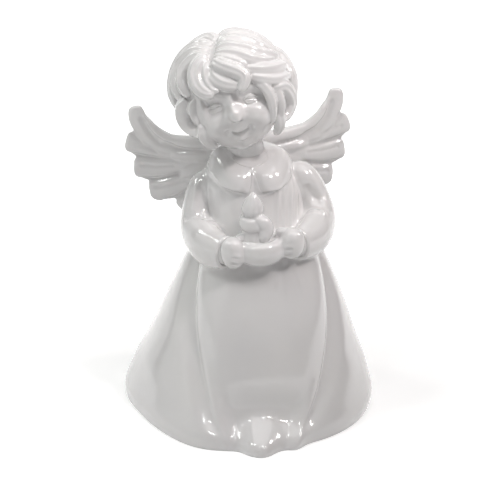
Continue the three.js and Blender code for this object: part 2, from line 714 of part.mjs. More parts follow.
// Wings, in the frame of the pair: out to one side, back, and up, in shares of wingReach
const featherShares = [
  { width: 0.1, thick: 1, points: [[0.25, -0.08], [0.45, -0.08], [0.66, -0.035], [0.8, 0.08], [0.875, 0.2], [0.895, 0.32]] },
  { width: 0.15, thick: 0.95, points: [[0.2, -0.12], [0.45, -0.125], [0.69, -0.095], [0.86, -0.04], [1, 0.005]] },
  { width: 0.15, thick: 0.9, points: [[0.2, -0.2], [0.45, -0.235], [0.68, -0.25], [0.84, -0.25], [0.95, -0.24]] },
  { width: 0.145, thick: 0.85, points: [[0.2, -0.26], [0.42, -0.35], [0.6, -0.42], [0.73, -0.455], [0.83, -0.465]] },
  { width: 0.125, thick: 0.8, points: [[0.16, -0.28], [0.31, -0.42], [0.44, -0.54], [0.56, -0.66]] },
  { width: 0.045, thick: 1.3, points: [[0.12, -0.03], [0.42, -0.03], [0.61, 0], [0.735, 0.085], [0.805, 0.18], [0.85, 0.265]] },
  { width: 0.07, thick: 1.5, points: [[0.1, -0.07], [0.34, -0.055], [0.52, -0.035], [0.63, 0.005]] },
  { width: 0.085, thick: 1.4, points: [[0.1, -0.16], [0.36, -0.155], [0.53, -0.15], [0.64, -0.15]] },
  { width: 0.09, thick: 1.3, points: [[0.1, -0.25], [0.32, -0.27], [0.47, -0.3], [0.57, -0.335]] },
];
const sweep = Math.tan(wingSweepAngle * degree);
const featherSkins = featherShares.map(({ width, thick, points }) => strand({
  path: curveOf(points.map(([out, up]) => vector(out, out * sweep, up).multiplyScalar(wingReach))),
  outward: () => vector(-sweep, 1, 0),
  halfWidth: width * wingReach,
  halfThickness: thick * wingThickness * half,
  bluntShare: 0.45,
  around: 7,
  along: 7,
}));

// The tenon on the wing's root goes into the robe's back.
const tenonPlaceShares = [0.13, -0.2];
const tenonSkin = strand({
  path: curveOf([
    vector(tenonPlaceShares[0] * wingReach, 0, tenonPlaceShares[1] * wingReach),
    vector(tenonPlaceShares[0] * wingReach, -tenonReach, tenonPlaceShares[1] * wingReach),
  ]),
  outward: straightUp,
  halfWidth: tenonRadius,
  halfThickness: tenonRadius,
  bluntShare: 0.3,
  around: 10,
  along: 6,
});
const wingPlacement = new THREE.Matrix4().compose(
  vector(-wingAside, wingBack, robeHeight),
  new THREE.Quaternion().setFromAxisAngle(vector(0, 1, 0), -wingRollAngle * degree),
  new THREE.Vector3().setScalar(1),
);
const mirror = new THREE.Matrix4().makeScale(-1, 1, 1);
function mirrored(geometry) {
  const copy = geometry.clone().applyMatrix4(mirror);
  copy.index.array.reverse();
  return copy;
}
const wings = {
  left_wing: {
    feathers: carried(featherSkins.map(mirrored), wingPlacement),
    tenon: carried([mirrored(tenonSkin)], wingPlacement),
  },
  right_wing: {
    feathers: carried(featherSkins, wingPlacement),
    tenon: carried([tenonSkin], wingPlacement),
  },
};

// Fitting: each piece is cut by its neighbours' skins grown by the clearance
const arms = Object.fromEntries(Object.entries(sleeveShares).map(([name, stations]) => [name, armOf(stations)]));
const hands = {
  left_hand: handSkins(arms.left_sleeve, -1),
  right_hand: handSkins(arms.right_sleeve, 1),
};
const robeGap = solidOf([robeSkin], clearance);
const neckGap = solidOf([neckSkin], clearance);
const headGap = solidOf([headSkin], clearance);
const collarGap = solidOf([collarSkin], clearance);
const dishGap = solidOf([dishSkin], clearance);
const candleGap = solidOf([candleBody], clearance);
const headCarriedGap = solidOf(carried([headSkin], headPlacement), clearance);
const wingGaps = Object.values(wings).map(({ feathers }) => solidOf(feathers, clearance));

const figurine = new THREE.Group();
figurine.position.y = pleatReach * half;

const robe = cut(solidOf([robeSkin]), [
  solidOf([hollowSkin]),
  neckGap,
  ...Object.values(wings).map(({ tenon }) => solidOf(tenon, clearance)),
]);
figurine.add(meshOf('robe_shell', robe));
figurine.add(meshOf('collar', cut(solidOf([collarSkin]), [robeGap, neckGap, headCarriedGap])));

Object.entries(arms).forEach(([name, arm]) => {
  const hand = solidOf(hands[name.replace('sleeve', 'hand')], clearance);
  const cutters = [solidOf([cuffHollow(arm)]), hand, robeGap, collarGap, ...wingGaps];
  const sleeve = cut(solidOf([sleeveSkin(arm)]), cutters);
  figurine.add(meshOf(name, sleeve));
});
Object.entries(hands).forEach(([name, skins]) => {
  figurine.add(meshOf(name, cut(solidOf(skins), [dishGap, robeGap, candleGap])));
});
Object.entries(wings).forEach(([name, { feathers, tenon }]) => {
  const wing = cut(cut(solidOf(feathers), [robeGap]).add(solidOf(tenon)), [collarGap]);
  figurine.add(meshOf(name, wing));
});

figurine.add(meshOf('candle_dish', cut(solidOf([dishSkin]), [candleGap, robeGap])));
const flameGap = solidOf([flameSkin], clearance);
figurine.add(meshOf('candle', cut(solidOf([dripSkin]), [dishGap]).add(solidOf([candleBody])).subtract(flameGap)));
figurine.add(meshOf('flame', solidOf([flameSkin])));

// The head and its hair, in their tilted group
const headGroup = new THREE.Group();
headGroup.applyMatrix4(headPlacement);
const fromHead = headPlacement.clone().invert();
const neckInHead = carried([neckSkin], fromHead);
headGroup.add(meshOf('head', solidOf([headSkin, ...neckInHead])));
const besideHair = [solidOf([scalpSkin]), headGap, solidOf(neckInHead, clearance)];
[collarGap, ...wingGaps].forEach((solid) => besideHair.push(solid.transform(fromHead.elements)));
headGroup.add(meshOf('hair', cut(solidOf([capSkin, ...lockSkins]), besideHair)));
figurine.add(headGroup);

export default figurine;
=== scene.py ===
import math

import bpy
import numpy as np
from mathutils import Matrix, Vector


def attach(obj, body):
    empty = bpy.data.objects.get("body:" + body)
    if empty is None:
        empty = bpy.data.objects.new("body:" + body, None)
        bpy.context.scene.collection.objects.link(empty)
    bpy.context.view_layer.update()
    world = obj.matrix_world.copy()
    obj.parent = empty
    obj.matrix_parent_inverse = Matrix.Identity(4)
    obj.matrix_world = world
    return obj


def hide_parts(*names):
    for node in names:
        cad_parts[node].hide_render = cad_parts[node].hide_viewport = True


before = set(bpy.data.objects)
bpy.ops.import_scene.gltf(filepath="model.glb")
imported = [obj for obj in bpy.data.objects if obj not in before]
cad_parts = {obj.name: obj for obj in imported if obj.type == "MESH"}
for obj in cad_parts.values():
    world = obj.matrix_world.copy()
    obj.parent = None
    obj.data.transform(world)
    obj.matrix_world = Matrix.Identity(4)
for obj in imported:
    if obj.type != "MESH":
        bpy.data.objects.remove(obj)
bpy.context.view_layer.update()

fineness = 1.0  # share of the full grid
millimetre = 0.001
# the robe's height, the lean of its top, the sway of its middle, and the shift into the part's frame
figure = dict(height=82.0, lean=2.3, leanFrom=0.7, sway=1.6, swayTop=0.95, shift=(0.0, 2.85, 0.0))


# Numeric forms. Every one works on whole arrays.
def bump(value, middle, spread):
    # a bell: e to the minus ((value - middle) / spread) squared
    return np.exp(-(((value - middle) / spread) ** 2))


def bell(angle, middle, spread):
    # a bell round an axis, with its middle and spread in degrees
    return bump(angle, np.radians(middle), np.radians(spread))


def ease(value, low, high):
    # 3t^2 - 2t^3, where t runs from 0 at low to 1 at high
    t = np.clip((value - low) / (high - low), 0, 1)
    return t * t * (3 - 2 * t)


def mix(one, other, share):
    return one + (other - one) * share


def spots(x, y, z):
    # places from three coordinates, whatever their shapes
    return np.stack(np.broadcast_arrays(x, y, z), -1)


def ballPoint(about, up, radius=1.0):
    # a place on a ball from two angles in degrees, both 0 at the front
    a, e = np.radians(about), np.radians(up)
    return spots(np.sin(a) * np.cos(e) * radius, -np.cos(a) * np.cos(e) * radius, np.sin(e) * radius)


def unit(vectors):
    return vectors / np.maximum(np.linalg.norm(vectors, axis=-1, keepdims=True), 1e-9)


def steps(count):
    return max(8, int(round(count * fineness)))


def turnTable(around):
    return np.arange(around) / around


def allRound(count):
    # angles once round an axis, in radians
    return 2 * np.pi * turnTable(steps(count))


def cubic(start, end, slopeA, slopeB, w):
    # the cubic from start to end with these end slopes, at the share w
    return (start + slopeA * w + (3 * (end - start) - 2 * slopeA - slopeB) * w ** 2
            + (2 * (start - end) + slopeA + slopeB) * w ** 3)


def rowCurve(rows, shares):
    # cubic spans through evenly numbered rows, each end slope half the chord of its neighbours
    last = len(rows) - 1
    place = np.clip(shares, 0, 1) * last
    span = np.minimum(place.astype(int), last - 1)
    w = (place - span)[..., None]
    before, start, end, after = (rows[np.clip(span + k, 0, last)] for k in (-1, 0, 1, 2))
    return cubic(start, end, (end - before) / 2, (after - start) / 2, w)


def pathAt(points, shares, even=True):
    # a smooth path whose spans are weighted by the square root of their length,
    # read at shares of its length, or of its stations where even is False
    p = np.asarray(points, float)
    ends = np.vstack([2 * p[0] - p[1], p, 2 * p[-1] - p[-2]])
    gap = np.sqrt(np.linalg.norm(np.diff(ends, axis=0), axis=1))

    def read(place):
        span = np.clip(place.astype(int), 0, len(p) - 2)
        w = (place - span)[:, None]
        a, b, c, d = (ends[span + k] for k in range(4))
        ga, gb, gc = (gap[span + k][:, None] for k in range(3))
        slopeA = ((b - a) / ga - (c - a) / (ga + gb) + (c - b) / gb) * gb
        slopeB = ((c - b) / gb - (d - b) / (gb + gc) + (d - c) / gc) * gb
        return cubic(b, c, slopeA, slopeB, w)

    if not even:
        return read(np.asarray(shares) * (len(p) - 1))
    dense = np.linspace(0, len(p) - 1, 60 * len(p))
    run = np.r_[0, np.cumsum(np.linalg.norm(np.diff(read(dense), axis=0), axis=1))]
    return read(np.interp(np.asarray(shares) * run[-1], run, dense))


def pathAhead(points, shares, even=True):
    # the direction of travel, from two readings close together
    near = 1e-3
    after, before = (pathAt(points, np.clip(shares + step, 0, 1), even) for step in (near, -near))
    return unit(after - before)


def nearSegment(points, start, end):
    # distance to a segment: the point less its clamped foot on it
    a, b = np.asarray(start, float), np.asarray(end, float)
    along = np.clip(((points - a) @ (b - a)) / max((b - a) @ (b - a), 1e-9), 0, 1)
    return np.linalg.norm(points - a - along[..., None] * (b - a), axis=-1)


def nearPath(points, path):
    # distance to the nearest of a path's segments
    return np.min([nearSegment(points, start, end) for start, end in zip(path[:-1], path[1:])], axis=0)


def pressed(points, outward, marks):
    # each mark lifts or presses the surface by amount times a bell of the distance to it
    for start, end, width, amount in marks:
        points = points + outward * (amount * bump(nearSegment(points, start, end), 0, width))[..., None]
    return points


def strand(points, halfWidth, halfThickness, outward, taper=0.0, blunt=0.6, around=36, along=60,
           ridges=0, ridge=0.0, bend=1e9):
    # a rounded tube along a path: width across it, thickness along outward, both times
    # sin(pi * rise) ** blunt * (1 - taper * share), where share = (1 - cos(pi * rise)) / 2 of the way;
    # its top is combed by 1 + ridge * cos(pi * ridges * across) * square root of above,
    # and its section lowered by aside squared / (2 * bend) so that it wraps a ball of that radius
    rise = np.linspace(0, 1, steps(along) + 1)
    share = (1 - np.cos(np.pi * rise)) / 2
    full = np.sin(np.pi * rise) ** blunt * (1 - taper * share)
    full[[0, -1]] = 0
    centre, ahead = pathAt(points, share), pathAhead(points, share)
    side = unit(np.cross(ahead, outward(centre)))
    lift = np.cross(side, ahead)
    angle = allRound(around)
    across, above = np.cos(angle), np.sin(angle)
    comb = 1 + ridge * np.cos(np.pi * ridges * across) * np.clip(above, 0, 1) ** 0.5
    aside = (across * halfWidth) * full[:, None]
    height = (above * comb * halfThickness) * full[:, None] - aside ** 2 / (2 * bend)
    return centre[:, None] + side[:, None] * aside[..., None] + lift[:, None] * height[..., None]


def turned(profile, around, centre=(0, 0)):
    # a lathe: radius and level carried round an upright axis
    angle = 2 * np.pi * turnTable(around)
    radius, level = profile[:, 0, None], profile[:, 1, None]
    return spots(centre[0] + radius * np.sin(angle), centre[1] - radius * np.cos(angle), level)


def roundedProfile(corners, count):
    # a smooth profile through its corners, with its ends kept on the axis
    flat = pathAt([(r, z, 0) for r, z in corners], np.linspace(0, 1, count), even=False)[:, :2]
    flat[:, 0] = np.maximum(flat[:, 0], 0)
    flat[[0, -1], 0] = 0
    return flat


def rolled(points, angle):
    # turned about the axis from front to back: a positive angle leans the top towards -X
    a = math.radians(angle)
    turn = np.array([[math.cos(a), 0, -math.sin(a)], [0, 1, 0], [math.sin(a), 0, math.cos(a)]])
    return points @ turn.T


def always(*direction):
    # one outward direction for a whole strand
    return lambda points: np.array(direction, float)


# Mesh making
def shell(grid, closed=False):
    # quads between neighbours, with a fan at each pole, or a hoop where closed is True
    rows, columns = grid.shape[:2]
    if closed:
        points = grid.reshape(-1, 3)
        index = np.arange(rows * columns).reshape(rows, columns)
        index = np.vstack([index, index[:1]])
    else:
        points = np.vstack([grid[0, :1], grid[1:-1].reshape(-1, 3), grid[-1, :1]])
        index = np.arange((rows - 2) * columns).reshape(rows - 2, columns) + 1
    right = np.roll(index, -1, 1)
    quads = np.stack([index[:-1], right[:-1], right[1:], index[1:]], -1).reshape(-1, 4)
    first, last = np.zeros(columns, int), np.full(columns, len(points) - 1)
    fans = np.r_[np.stack([first, right[0], index[0]], -1), np.stack([last, index[-1], right[-1]], -1)]
    fans = fans[:0] if closed else fans
    sides = np.r_[quads[:, :3], quads[:, [0, 2, 3]], fans]
    corner = points[sides]
    volume = np.einsum("ij,ij->i", corner[:, 0], np.cross(corner[:, 1], corner[:, 2])).sum()
    return (points, quads, fans) if volume > 0 else (points, quads[:, ::-1], fans[:, ::-1])


def smoothed(mesh):
    mesh.polygons.foreach_set("use_smooth", np.ones(len(mesh.polygons), bool))
    return mesh


def meshFrom(shells):
    # shells laid into one mesh, in metres, in the part's frame
    points, faces, start = [], [], 0
    for shellPoints, quads, fans in shells:
        points.append(shellPoints)
        faces += (quads + start).tolist() + (fans + start).tolist()
        start += len(shellPoints)
    mesh = bpy.data.meshes.new("casting")
    mesh.from_pydata(((np.vstack(points) + figure["shift"]) * millimetre).tolist(), [], faces)
    smoothed(mesh).update()
    return mesh


def bringIn(name, data):
    piece = bpy.data.objects.new(name, data)
    bpy.context.scene.collection.objects.link(piece)
    return piece


def plain(*shells):
    # a piece whose shells stay as they are
    return bringIn("casting", meshFrom(shells))


def baked(piece):
    # the piece's mesh with its modifiers worked in
    bpy.context.view_layer.update()
    graph = bpy.context.evaluated_depsgraph_get()
    mesh = bpy.data.meshes.new_from_object(piece.evaluated_get(graph))
    piece.modifiers.clear()
    return mesh


def fused(shells, voxel, soften, marks=(), finish=1):
    # overlapping shells melted into one skin and softened as a glaze does,
    # with marks (path, width, amount) raised or sunk along its own normals
    piece = plain(*shells)
    melt = piece.modifiers.new("melt", "REMESH")
    melt.mode, melt.voxel_size, melt.use_smooth_shade = "VOXEL", voxel * millimetre / fineness, True
    soft = piece.modifiers.new("soften", "SMOOTH")
    soft.factor, soft.iterations = 0.5, soften
    mesh = piece.data = baked(piece)
    if marks:
        count = len(mesh.vertices)
        points, normals = np.empty(count * 3), np.empty(count * 3)
        mesh.vertices.foreach_get("co", points)
        mesh.vertices.foreach_get("normal", normals)
        points, normals = points.reshape(-1, 3) * 1000 - figure["shift"], normals.reshape(-1, 3)
        lift = sum(amount * bump(nearPath(points, path), 0, width) for path, width, amount in marks)
        points = (points + normals * lift[:, None] + figure["shift"]) * millimetre
        mesh.vertices.foreach_set("co", points.ravel())
        again = piece.modifiers.new("settle", "SMOOTH")
        again.factor, again.iterations = 0.5, finish
        piece.data = baked(piece)
    smoothed(piece.data)
    return piece


# Porcelain
glazeLook = dict(
    colour=(0.80, 0.79, 0.785, 1), pool=0.05, poolBlue=0.7, roughness=(0.15 * 0.75, 0.15 * 1.3),
    # scale and detail of the noises: slow clouds, patches of gloss, a faint orange peel
    clouds=(38, 2), cloudEdges=(0.3, 0.7), haze=(140, 3), peel=(330, 1),
    peelBump={"Strength": 0.3, "Distance": 0.00025},
    sockets={"IOR": 1.5, "Coat Weight": 0.7, "Coat Roughness": 0.05, "Subsurface Weight": 0.15,
             "Subsurface Radius": (1.0, 0.95, 0.9), "Subsurface Scale": 0.0012},
)


def newMaterial(name):
    material = bpy.data.materials.new(name)
    material.use_nodes = True
    nodes = material.node_tree.nodes
    return material, nodes, material.node_tree.links, nodes["Principled BSDF"]


def put(node, values):
    for socket, value in values.items():
        node.inputs[socket].default_value = value


def ranged(nodes, links, value, ends, start=(0, 1)):
    # carries a value from its start range to the range between these ends
    node = nodes.new("ShaderNodeMapRange")
    put(node, dict(zip(("From Min", "From Max", "To Min", "To Max"), (*start, *ends))))
    links.new(value, node.inputs["Value"])
    return node.outputs["Result"]


def noise(nodes, links, place, scale, detail):
    # a soft random grey that stays with the object
    texture = nodes.new("ShaderNodeTexNoise")
    put(texture, {"Scale": scale, "Detail": detail})
    links.new(place.outputs["Object"], texture.inputs["Vector"])
    return texture.outputs["Fac"]


def makeGlaze():
    material, nodes, links, surface = newMaterial("whiteGlaze")
    place = nodes.new("ShaderNodeTexCoord")
    # thick and thin glaze: slow clouds tint the white a little
    tint = nodes.new("ShaderNodeValToRGB")
    r, g, b, _ = glazeLook["colour"]
    pool = glazeLook["pool"]
    thick, thin = tint.color_ramp.elements
    thick.position, thin.position = glazeLook["cloudEdges"]
    thick.color = (r * (1 - pool), g * (1 - pool), b * (1 - pool * glazeLook["poolBlue"]), 1)
    thin.color = (r, g, b, 1)
    links.new(noise(nodes, links, place, *glazeLook["clouds"]), tint.inputs["Fac"])
    links.new(tint.outputs["Color"], surface.inputs["Base Color"])
    # the gloss is a little uneven
    haze = noise(nodes, links, place, *glazeLook["haze"])
    links.new(ranged(nodes, links, haze, glazeLook["roughness"]), surface.inputs["Roughness"])
    # the glaze has a faint orange peel
    relief = nodes.new("ShaderNodeBump")
    put(relief, glazeLook["peelBump"])
    links.new(noise(nodes, links, place, *glazeLook["peel"]), relief.inputs["Height"])
    links.new(relief.outputs["Normal"], surface.inputs["Normal"])
    put(surface, glazeLook["sockets"])
    return material


glaze = makeGlaze()
castings = {}


def casting(node, piece):
    # one finished piece stands for the CAD node of that name
    piece.name = node + "_porcelain"
    piece.data.name = piece.name
    piece.data.materials.append(glaze)
    castings[node] = piece
    print(f"{node}: {len(piece.data.polygons)} faces")


# Robe
robe = dict(
    hem=39.5, shoulder=15.4, chest=12.5, wall=3.5, around=380, down=210, footDown=34, footFrom=0.1,
    rimRows=9, hollowRows=60, hollowTop=0.8, domeFrom=0.55,
    # the share of the columns inside the grooves, and how they bunch towards them
    panelColumns=0.46, panelBunch=1.15, backBunch=1.12,
    # height share, hem share, then what the torso adds at the side, front and back
    rows=[(0, 0.984, 0, 0.1, 0), (0.018, 0.9945, 0, 0.1, 0), (0.05, 0.997, 0, 0.08, 0),
          (0.1, 0.967, 0, 0.03, 0), (0.174, 0.91, 0, 0, -0.02), (0.272, 0.82, 0, 0, -0.06),
          (0.434, 0.675, 0.03, 0, -0.08),
          (0.585, 0.41, 0.36, 0.46, 0.25), (0.7, 0.17, 0.68, 0.87, 0.7), (0.8, 0, 1, 1.14, 1.04),
          (0.875, 0, 0.95, 1.03, 0.98), (0.93, 0, 0.8, 0.9, 0.88), (0.968, 0, 0.6, 0.7, 0.7),
          (0.99, 0, 0.46, 0.56, 0.56), (1, 0, 0.4, 0.48, 0.48)],
    # the front gown: its half angle in degrees, then its swell at a share of the height
    panelStart=14.5, panelWiden=89.0, panelEdge=0.55, panelRise=2.9, panelTop=0.45, panelSpread=0.183,
    crease=3.6, creaseHeight=0.108, creaseFall=0.05, creaseAbove=0.085, creaseBelow=0.06,
    groove=1.6, grooveInside=0.1, grooveOutside=0.2, grooveFoot=(0.03, 0.1), grooveTop=(0.58, 0.74),
    # waves of the hem: how far out, middle and spread in degrees, and the height shares where they end
    pleat=5.7, pleatAngle=-0.8, pleatSpread=8.0, ruffle=2.4, ruffleAngle=14.0, ruffleSpread=5.5,
    swell=3.0, swellAngle=-26.0, swellSpread=17.0, hollow=1.4, hollowAngle=-70.0, hollowSpread=17.0,
    pleatTop=0.14, hemTop=0.22,
    # soft folds on the front: a path of x and z, width and rise, and how the ends fade
    foldFade=(3.0, 1.5), frontFacing=(0.05, 0.4),
    folds=[([(6.2, 73), (6.05, 68), (5.9, 60)], 0.75, 0.5), ([(8.2, 72), (8.0, 67), (7.8, 60)], 0.75, 0.4),
           ([(10.7, 72), (10.45, 67), (10.2, 60)], 0.8, 0.5),
           ([(12.5, 70), (12.2, 66), (11.9, 61)], 0.7, 0.35),
           ([(-11.9, 72), (-12.1, 66)], 1.5, 0.5),
           ([(5.5, 54), (5.2, 50), (5.0, 46)], 0.8, 0.2), ([(8.2, 54), (8.05, 50), (7.9, 44)], 0.9, 0.22),
           ([(10.5, 54), (11, 50), (12.1, 45)], 0.9, 0.22),
           ([(-3.0, 7.5), (-3.5, 4), (-3.9, 0)], 1.4, 0.3)],
)


def panelHalf(share):
    # the front gown's half angle widens evenly with height
    return np.radians(robe["panelStart"] + robe["panelWiden"] * share)


def robeWave(name, angle):
    # a bell round the robe, as high as the setting of that name
    return robe[name] * bell(angle, robe[name + "Angle"], robe[name + "Spread"])


def foldRelief(x, z):
    # each fold is a bell across its path, and fades at the path's foot and top
    outer, inner = robe["foldFade"]
    folds = 0
    for path, width, amount in robe["folds"]:
        top, foot = path[0][1], path[-1][1]
        route = np.array(path[::-1])
        middle = np.interp(z, route[:, 1], route[:, 0])
        fade = ease(z, foot - outer, foot + inner) if foot > 1 else 1
        fade = fade * (1 - ease(z, top - inner, top + outer))
        folds = folds + amount * fade * bump(x, middle, width)
    return folds


def robeRelief(angle, share, x, z, front):
    # (rise - crease) inside the front gown, less a bell along its grooves, with the hem's waves and the folds
    across = np.abs(angle) / panelHalf(share)
    inside = 1 - ease(across, robe["panelEdge"], 1)
    creaseLevel = robe["creaseHeight"] - robe["creaseFall"] * np.minimum(across, 1) ** 2
    creaseSpread = np.where(share > creaseLevel, robe["creaseAbove"], robe["creaseBelow"])
    crease = robe["crease"] * bump(share, creaseLevel, creaseSpread)
    rise = robe["panelRise"] * bump(share, robe["panelTop"], robe["panelSpread"])
    run = ease(share, *robe["grooveFoot"]) * (1 - ease(share, *robe["grooveTop"]))
    grooveSpread = np.where(across < 1, robe["grooveInside"], robe["grooveOutside"])
    groove = run * robe["groove"] * bump(across, 1, grooveSpread)
    pleatFade = 1 - ease(share, 0, robe["pleatTop"])
    pleat = pleatFade * (robeWave("pleat", angle) + robeWave("ruffle", angle))
    hemFade = 1 - ease(share, 0, robe["hemTop"])
    hem = hemFade * (robeWave("swell", angle) - robeWave("hollow", angle))
    return (rise - crease) * inside - groove + pleat + hem + foldRelief(x, z) * front


def robePoints(turn, row, inset):
    # an upright bell: half widths from the rows, columns at angles that follow the grooves;
    # across = (side + relief) * sin(angle), through = (depth + relief) * cos(angle)
    rows = np.array(robe["rows"])
    torso = np.array([robe["shoulder"], robe["chest"], robe["chest"]])
    widths = rows[:, 1:2] * robe["hem"] + rows[:, 2:] * torso
    lines = rowCurve(np.column_stack([rows[:, 0] * figure["height"], widths]), row)
    z, side, frontDepth, backDepth = (lines[..., k] for k in range(4))
    share = z / figure["height"]
    edge = panelHalf(share)
    part, panel = np.abs(2 * turn - 1), robe["panelColumns"]
    panelPart = 1 - (1 - np.minimum(part / panel, 1)) ** robe["panelBunch"]
    backPart = (np.maximum(part - panel, 0) / (1 - panel)) ** robe["backBunch"]
    angle = np.sign(turn - 0.5) * (edge * panelPart + (np.pi - edge) * backPart)
    facing = np.cos(angle)
    depth = np.where(facing > 0, frontDepth, backDepth)
    sway = figure["sway"] * np.sin(np.pi * np.minimum(share / figure["swayTop"], 1))
    drift = sway - figure["lean"] * ease(share, figure["leanFrom"], 1)
    x = side * np.sin(angle) + drift
    front = ease(facing, *robe["frontFacing"]) * (inset == 0)
    relief = robeRelief(angle, share, x, z, front) - inset
    return spots((side + relief) * np.sin(angle) + drift, -(depth + relief) * facing, z)


def makeRobe():
    turn = turnTable(steps(robe["around"]))
    foot = robe["footFrom"]
    outerRow = np.r_[np.linspace(1, foot, steps(robe["down"])),
                     np.linspace(foot, 0, steps(robe["footDown"]))[1:]][:, None]
    outer = robePoints(turn, outerRow, 0 * outerRow)
    crown = outer[:1] * [0, 0, 1] + [-figure["lean"], 0, 0]
    rimShare = np.linspace(0, 1, robe["rimRows"])[1:-1, None]
    rim = robePoints(turn, 0 * rimShare, rimShare * robe["wall"])
    # the hollow closes in a dome: its width times the square root of 1 - ease squared
    rise = np.linspace(0, 1, steps(robe["hollowRows"]))[:, None]
    inner = robePoints(turn, rise * robe["hollowTop"], 0 * rise + robe["wall"])
    dome = np.sqrt(1 - ease(rise, robe["domeFrom"], 1) ** 2)[..., None]
    inner = inner * np.concatenate([dome, dome, np.ones_like(dome)], -1)
    return plain(shell(np.r_[crown, outer, rim, inner]))


casting("robe_shell", makeRobe())

# Head
head = dict(
    half=(15.3, 16.5, 17.0), centre=(-7.3, -2.0, 100.4), lean=-12.0, nod=-16.0, turn=-2.0,
    around=330, rings=230, bunch=0.5, chinNarrow=0.1, chinFrom=0.2, faceFacing=(0, 0.5),
    tilt=4.5, drift=-1.2,  # the features sit a little aslant on the face
    twinFrom=0.5,  # from this far across, a form or line has a twin on the other side
    # across, up, rise, spread across, spread up, squareness, in millimetres on the face
    forms=[(0.1, -5.7, 2.9, 2.2, 2.2, 1.5), (0.49, -6.6, 0.6, 0.9, 0.9, 1), (-0.3, -2.6, 1.2, 1.3, 2.8, 1),
           (0.1, -8.4, -0.5, 1.6, 0.5, 1), (5.7, -2.6, -1.7, 3.3, 2.1, 1.2), (5.7, -2.8, 1.3, 1.9, 1.0, 1.4),
           (5.3, 1.2, 0.6, 3.6, 1.4, 1), (7.2, -8.4, 2.0, 3.7, 3.3, 1.2),
           (0.2, -11.0, 0.4, 2.2, 0.6, 1), (0.2, -13.1, 0.8, 1.6, 0.7, 1.2), (3.6, -10.6, -0.8, 0.9, 0.9, 1),
           (0.0, -14.5, -0.3, 2.0, 0.8, 1), (-0.2, -16.1, 1.2, 2.6, 2.0, 1.2)],
    lineEnds=(0.75, 1.15),  # where a line fades, in half lengths
    # middle across, level, bend, half length, width, rise
    lines=[(5.7, -1.8, -0.2, 2.2, 0.34, 0.5), (5.7, -2.9, 0.1, 1.8, 0.3, -0.4),
           (5.7, -4.0, 0.12, 1.9, 0.34, 0.4), (0.2, -11.9, 0.14, 2.6, 0.42, -1.1)],
)


def headPlaced(points):
    # nodded, then leant, then turned, about the skull's middle
    nod, lean, turn = (Matrix.Rotation(math.radians(head[name]), 3, axis)
                       for name, axis in (("nod", "X"), ("lean", "Y"), ("turn", "Z")))
    return points @ np.array(turn @ lean @ nod).T + head["centre"]


def sidesOf(across):
    return (across,) if across < head["twinFrom"] else (across, -across)


def faceRelief(x, z):
    # a form is rise * e to the minus (across squared + up squared) ** squareness, each over its spread;
    # a line is a bell of the distance to level + bend * across squared
    relief = 0 * x
    for across, up, amount, wide, tall, square in head["forms"]:
        for side in sidesOf(across):
            relief += amount * np.exp(-(((x - side) / wide) ** 2 + ((z - up) / tall) ** 2) ** square)
    for across, level, bend, halfLength, width, amount in head["lines"]:
        for side in sidesOf(across):
            run = 1 - ease(np.abs(x - side), *(halfLength * share for share in head["lineEnds"]))
            relief += amount * run * bump(z, level + bend * (x - side) ** 2, width)
    return relief


def makeHead():
    # rings from the face to the back of an egg, each point pushed out along its own direction
    rise = np.linspace(0, 1, steps(head["rings"]) + 1)[:, None]
    tilt = np.pi * mix(rise ** 2, rise, head["bunch"])
    angle = allRound(head["around"])
    aim = spots(np.sin(tilt) * np.sin(angle), -np.cos(tilt), np.sin(tilt) * np.cos(angle))
    points = aim * head["half"]
    points[..., 0] *= 1 - head["chinNarrow"] * ease(-points[..., 2] / head["half"][2], head["chinFrom"], 1)
    a = math.radians(head["tilt"])
    x = points[..., 0] * math.cos(a) + points[..., 2] * math.sin(a) - head["drift"]
    z = points[..., 2] * math.cos(a) - points[..., 0] * math.sin(a)
    relief = faceRelief(x, z) * ease(-aim[..., 1], *head["faceFacing"])
    return headPlaced(points + aim * relief[..., None])


neck = dict(radius=6.0, flare=2.2, flareFrom=0.45, closeFrom=0.9, foot=(-2.3, -0.4, 79.0),
            top=(-5.0, -1.4, 91.2))


def makeNeck():
    # a plain slanted tube, wider where it meets the skull, closed at both ends
    share = np.linspace(0, 1, 30)[:, None]
    angle = allRound(80)
    radius = neck["radius"] + neck["flare"] * ease(share, neck["flareFrom"], 1)
    radius = radius * (1 - ease(share, neck["closeFrom"], 1.0)) * ease(share, -0.02, 0.02)
    middle = mix(np.array(neck["foot"]), np.array(neck["top"]), share)[:, None]
    ring = spots(radius * np.sin(angle), radius * np.cos(angle), 0)
    ring[[0, -1]] = 0
    return middle + ring


casting("head", plain(shell(makeHead()), shell(makeNeck())))

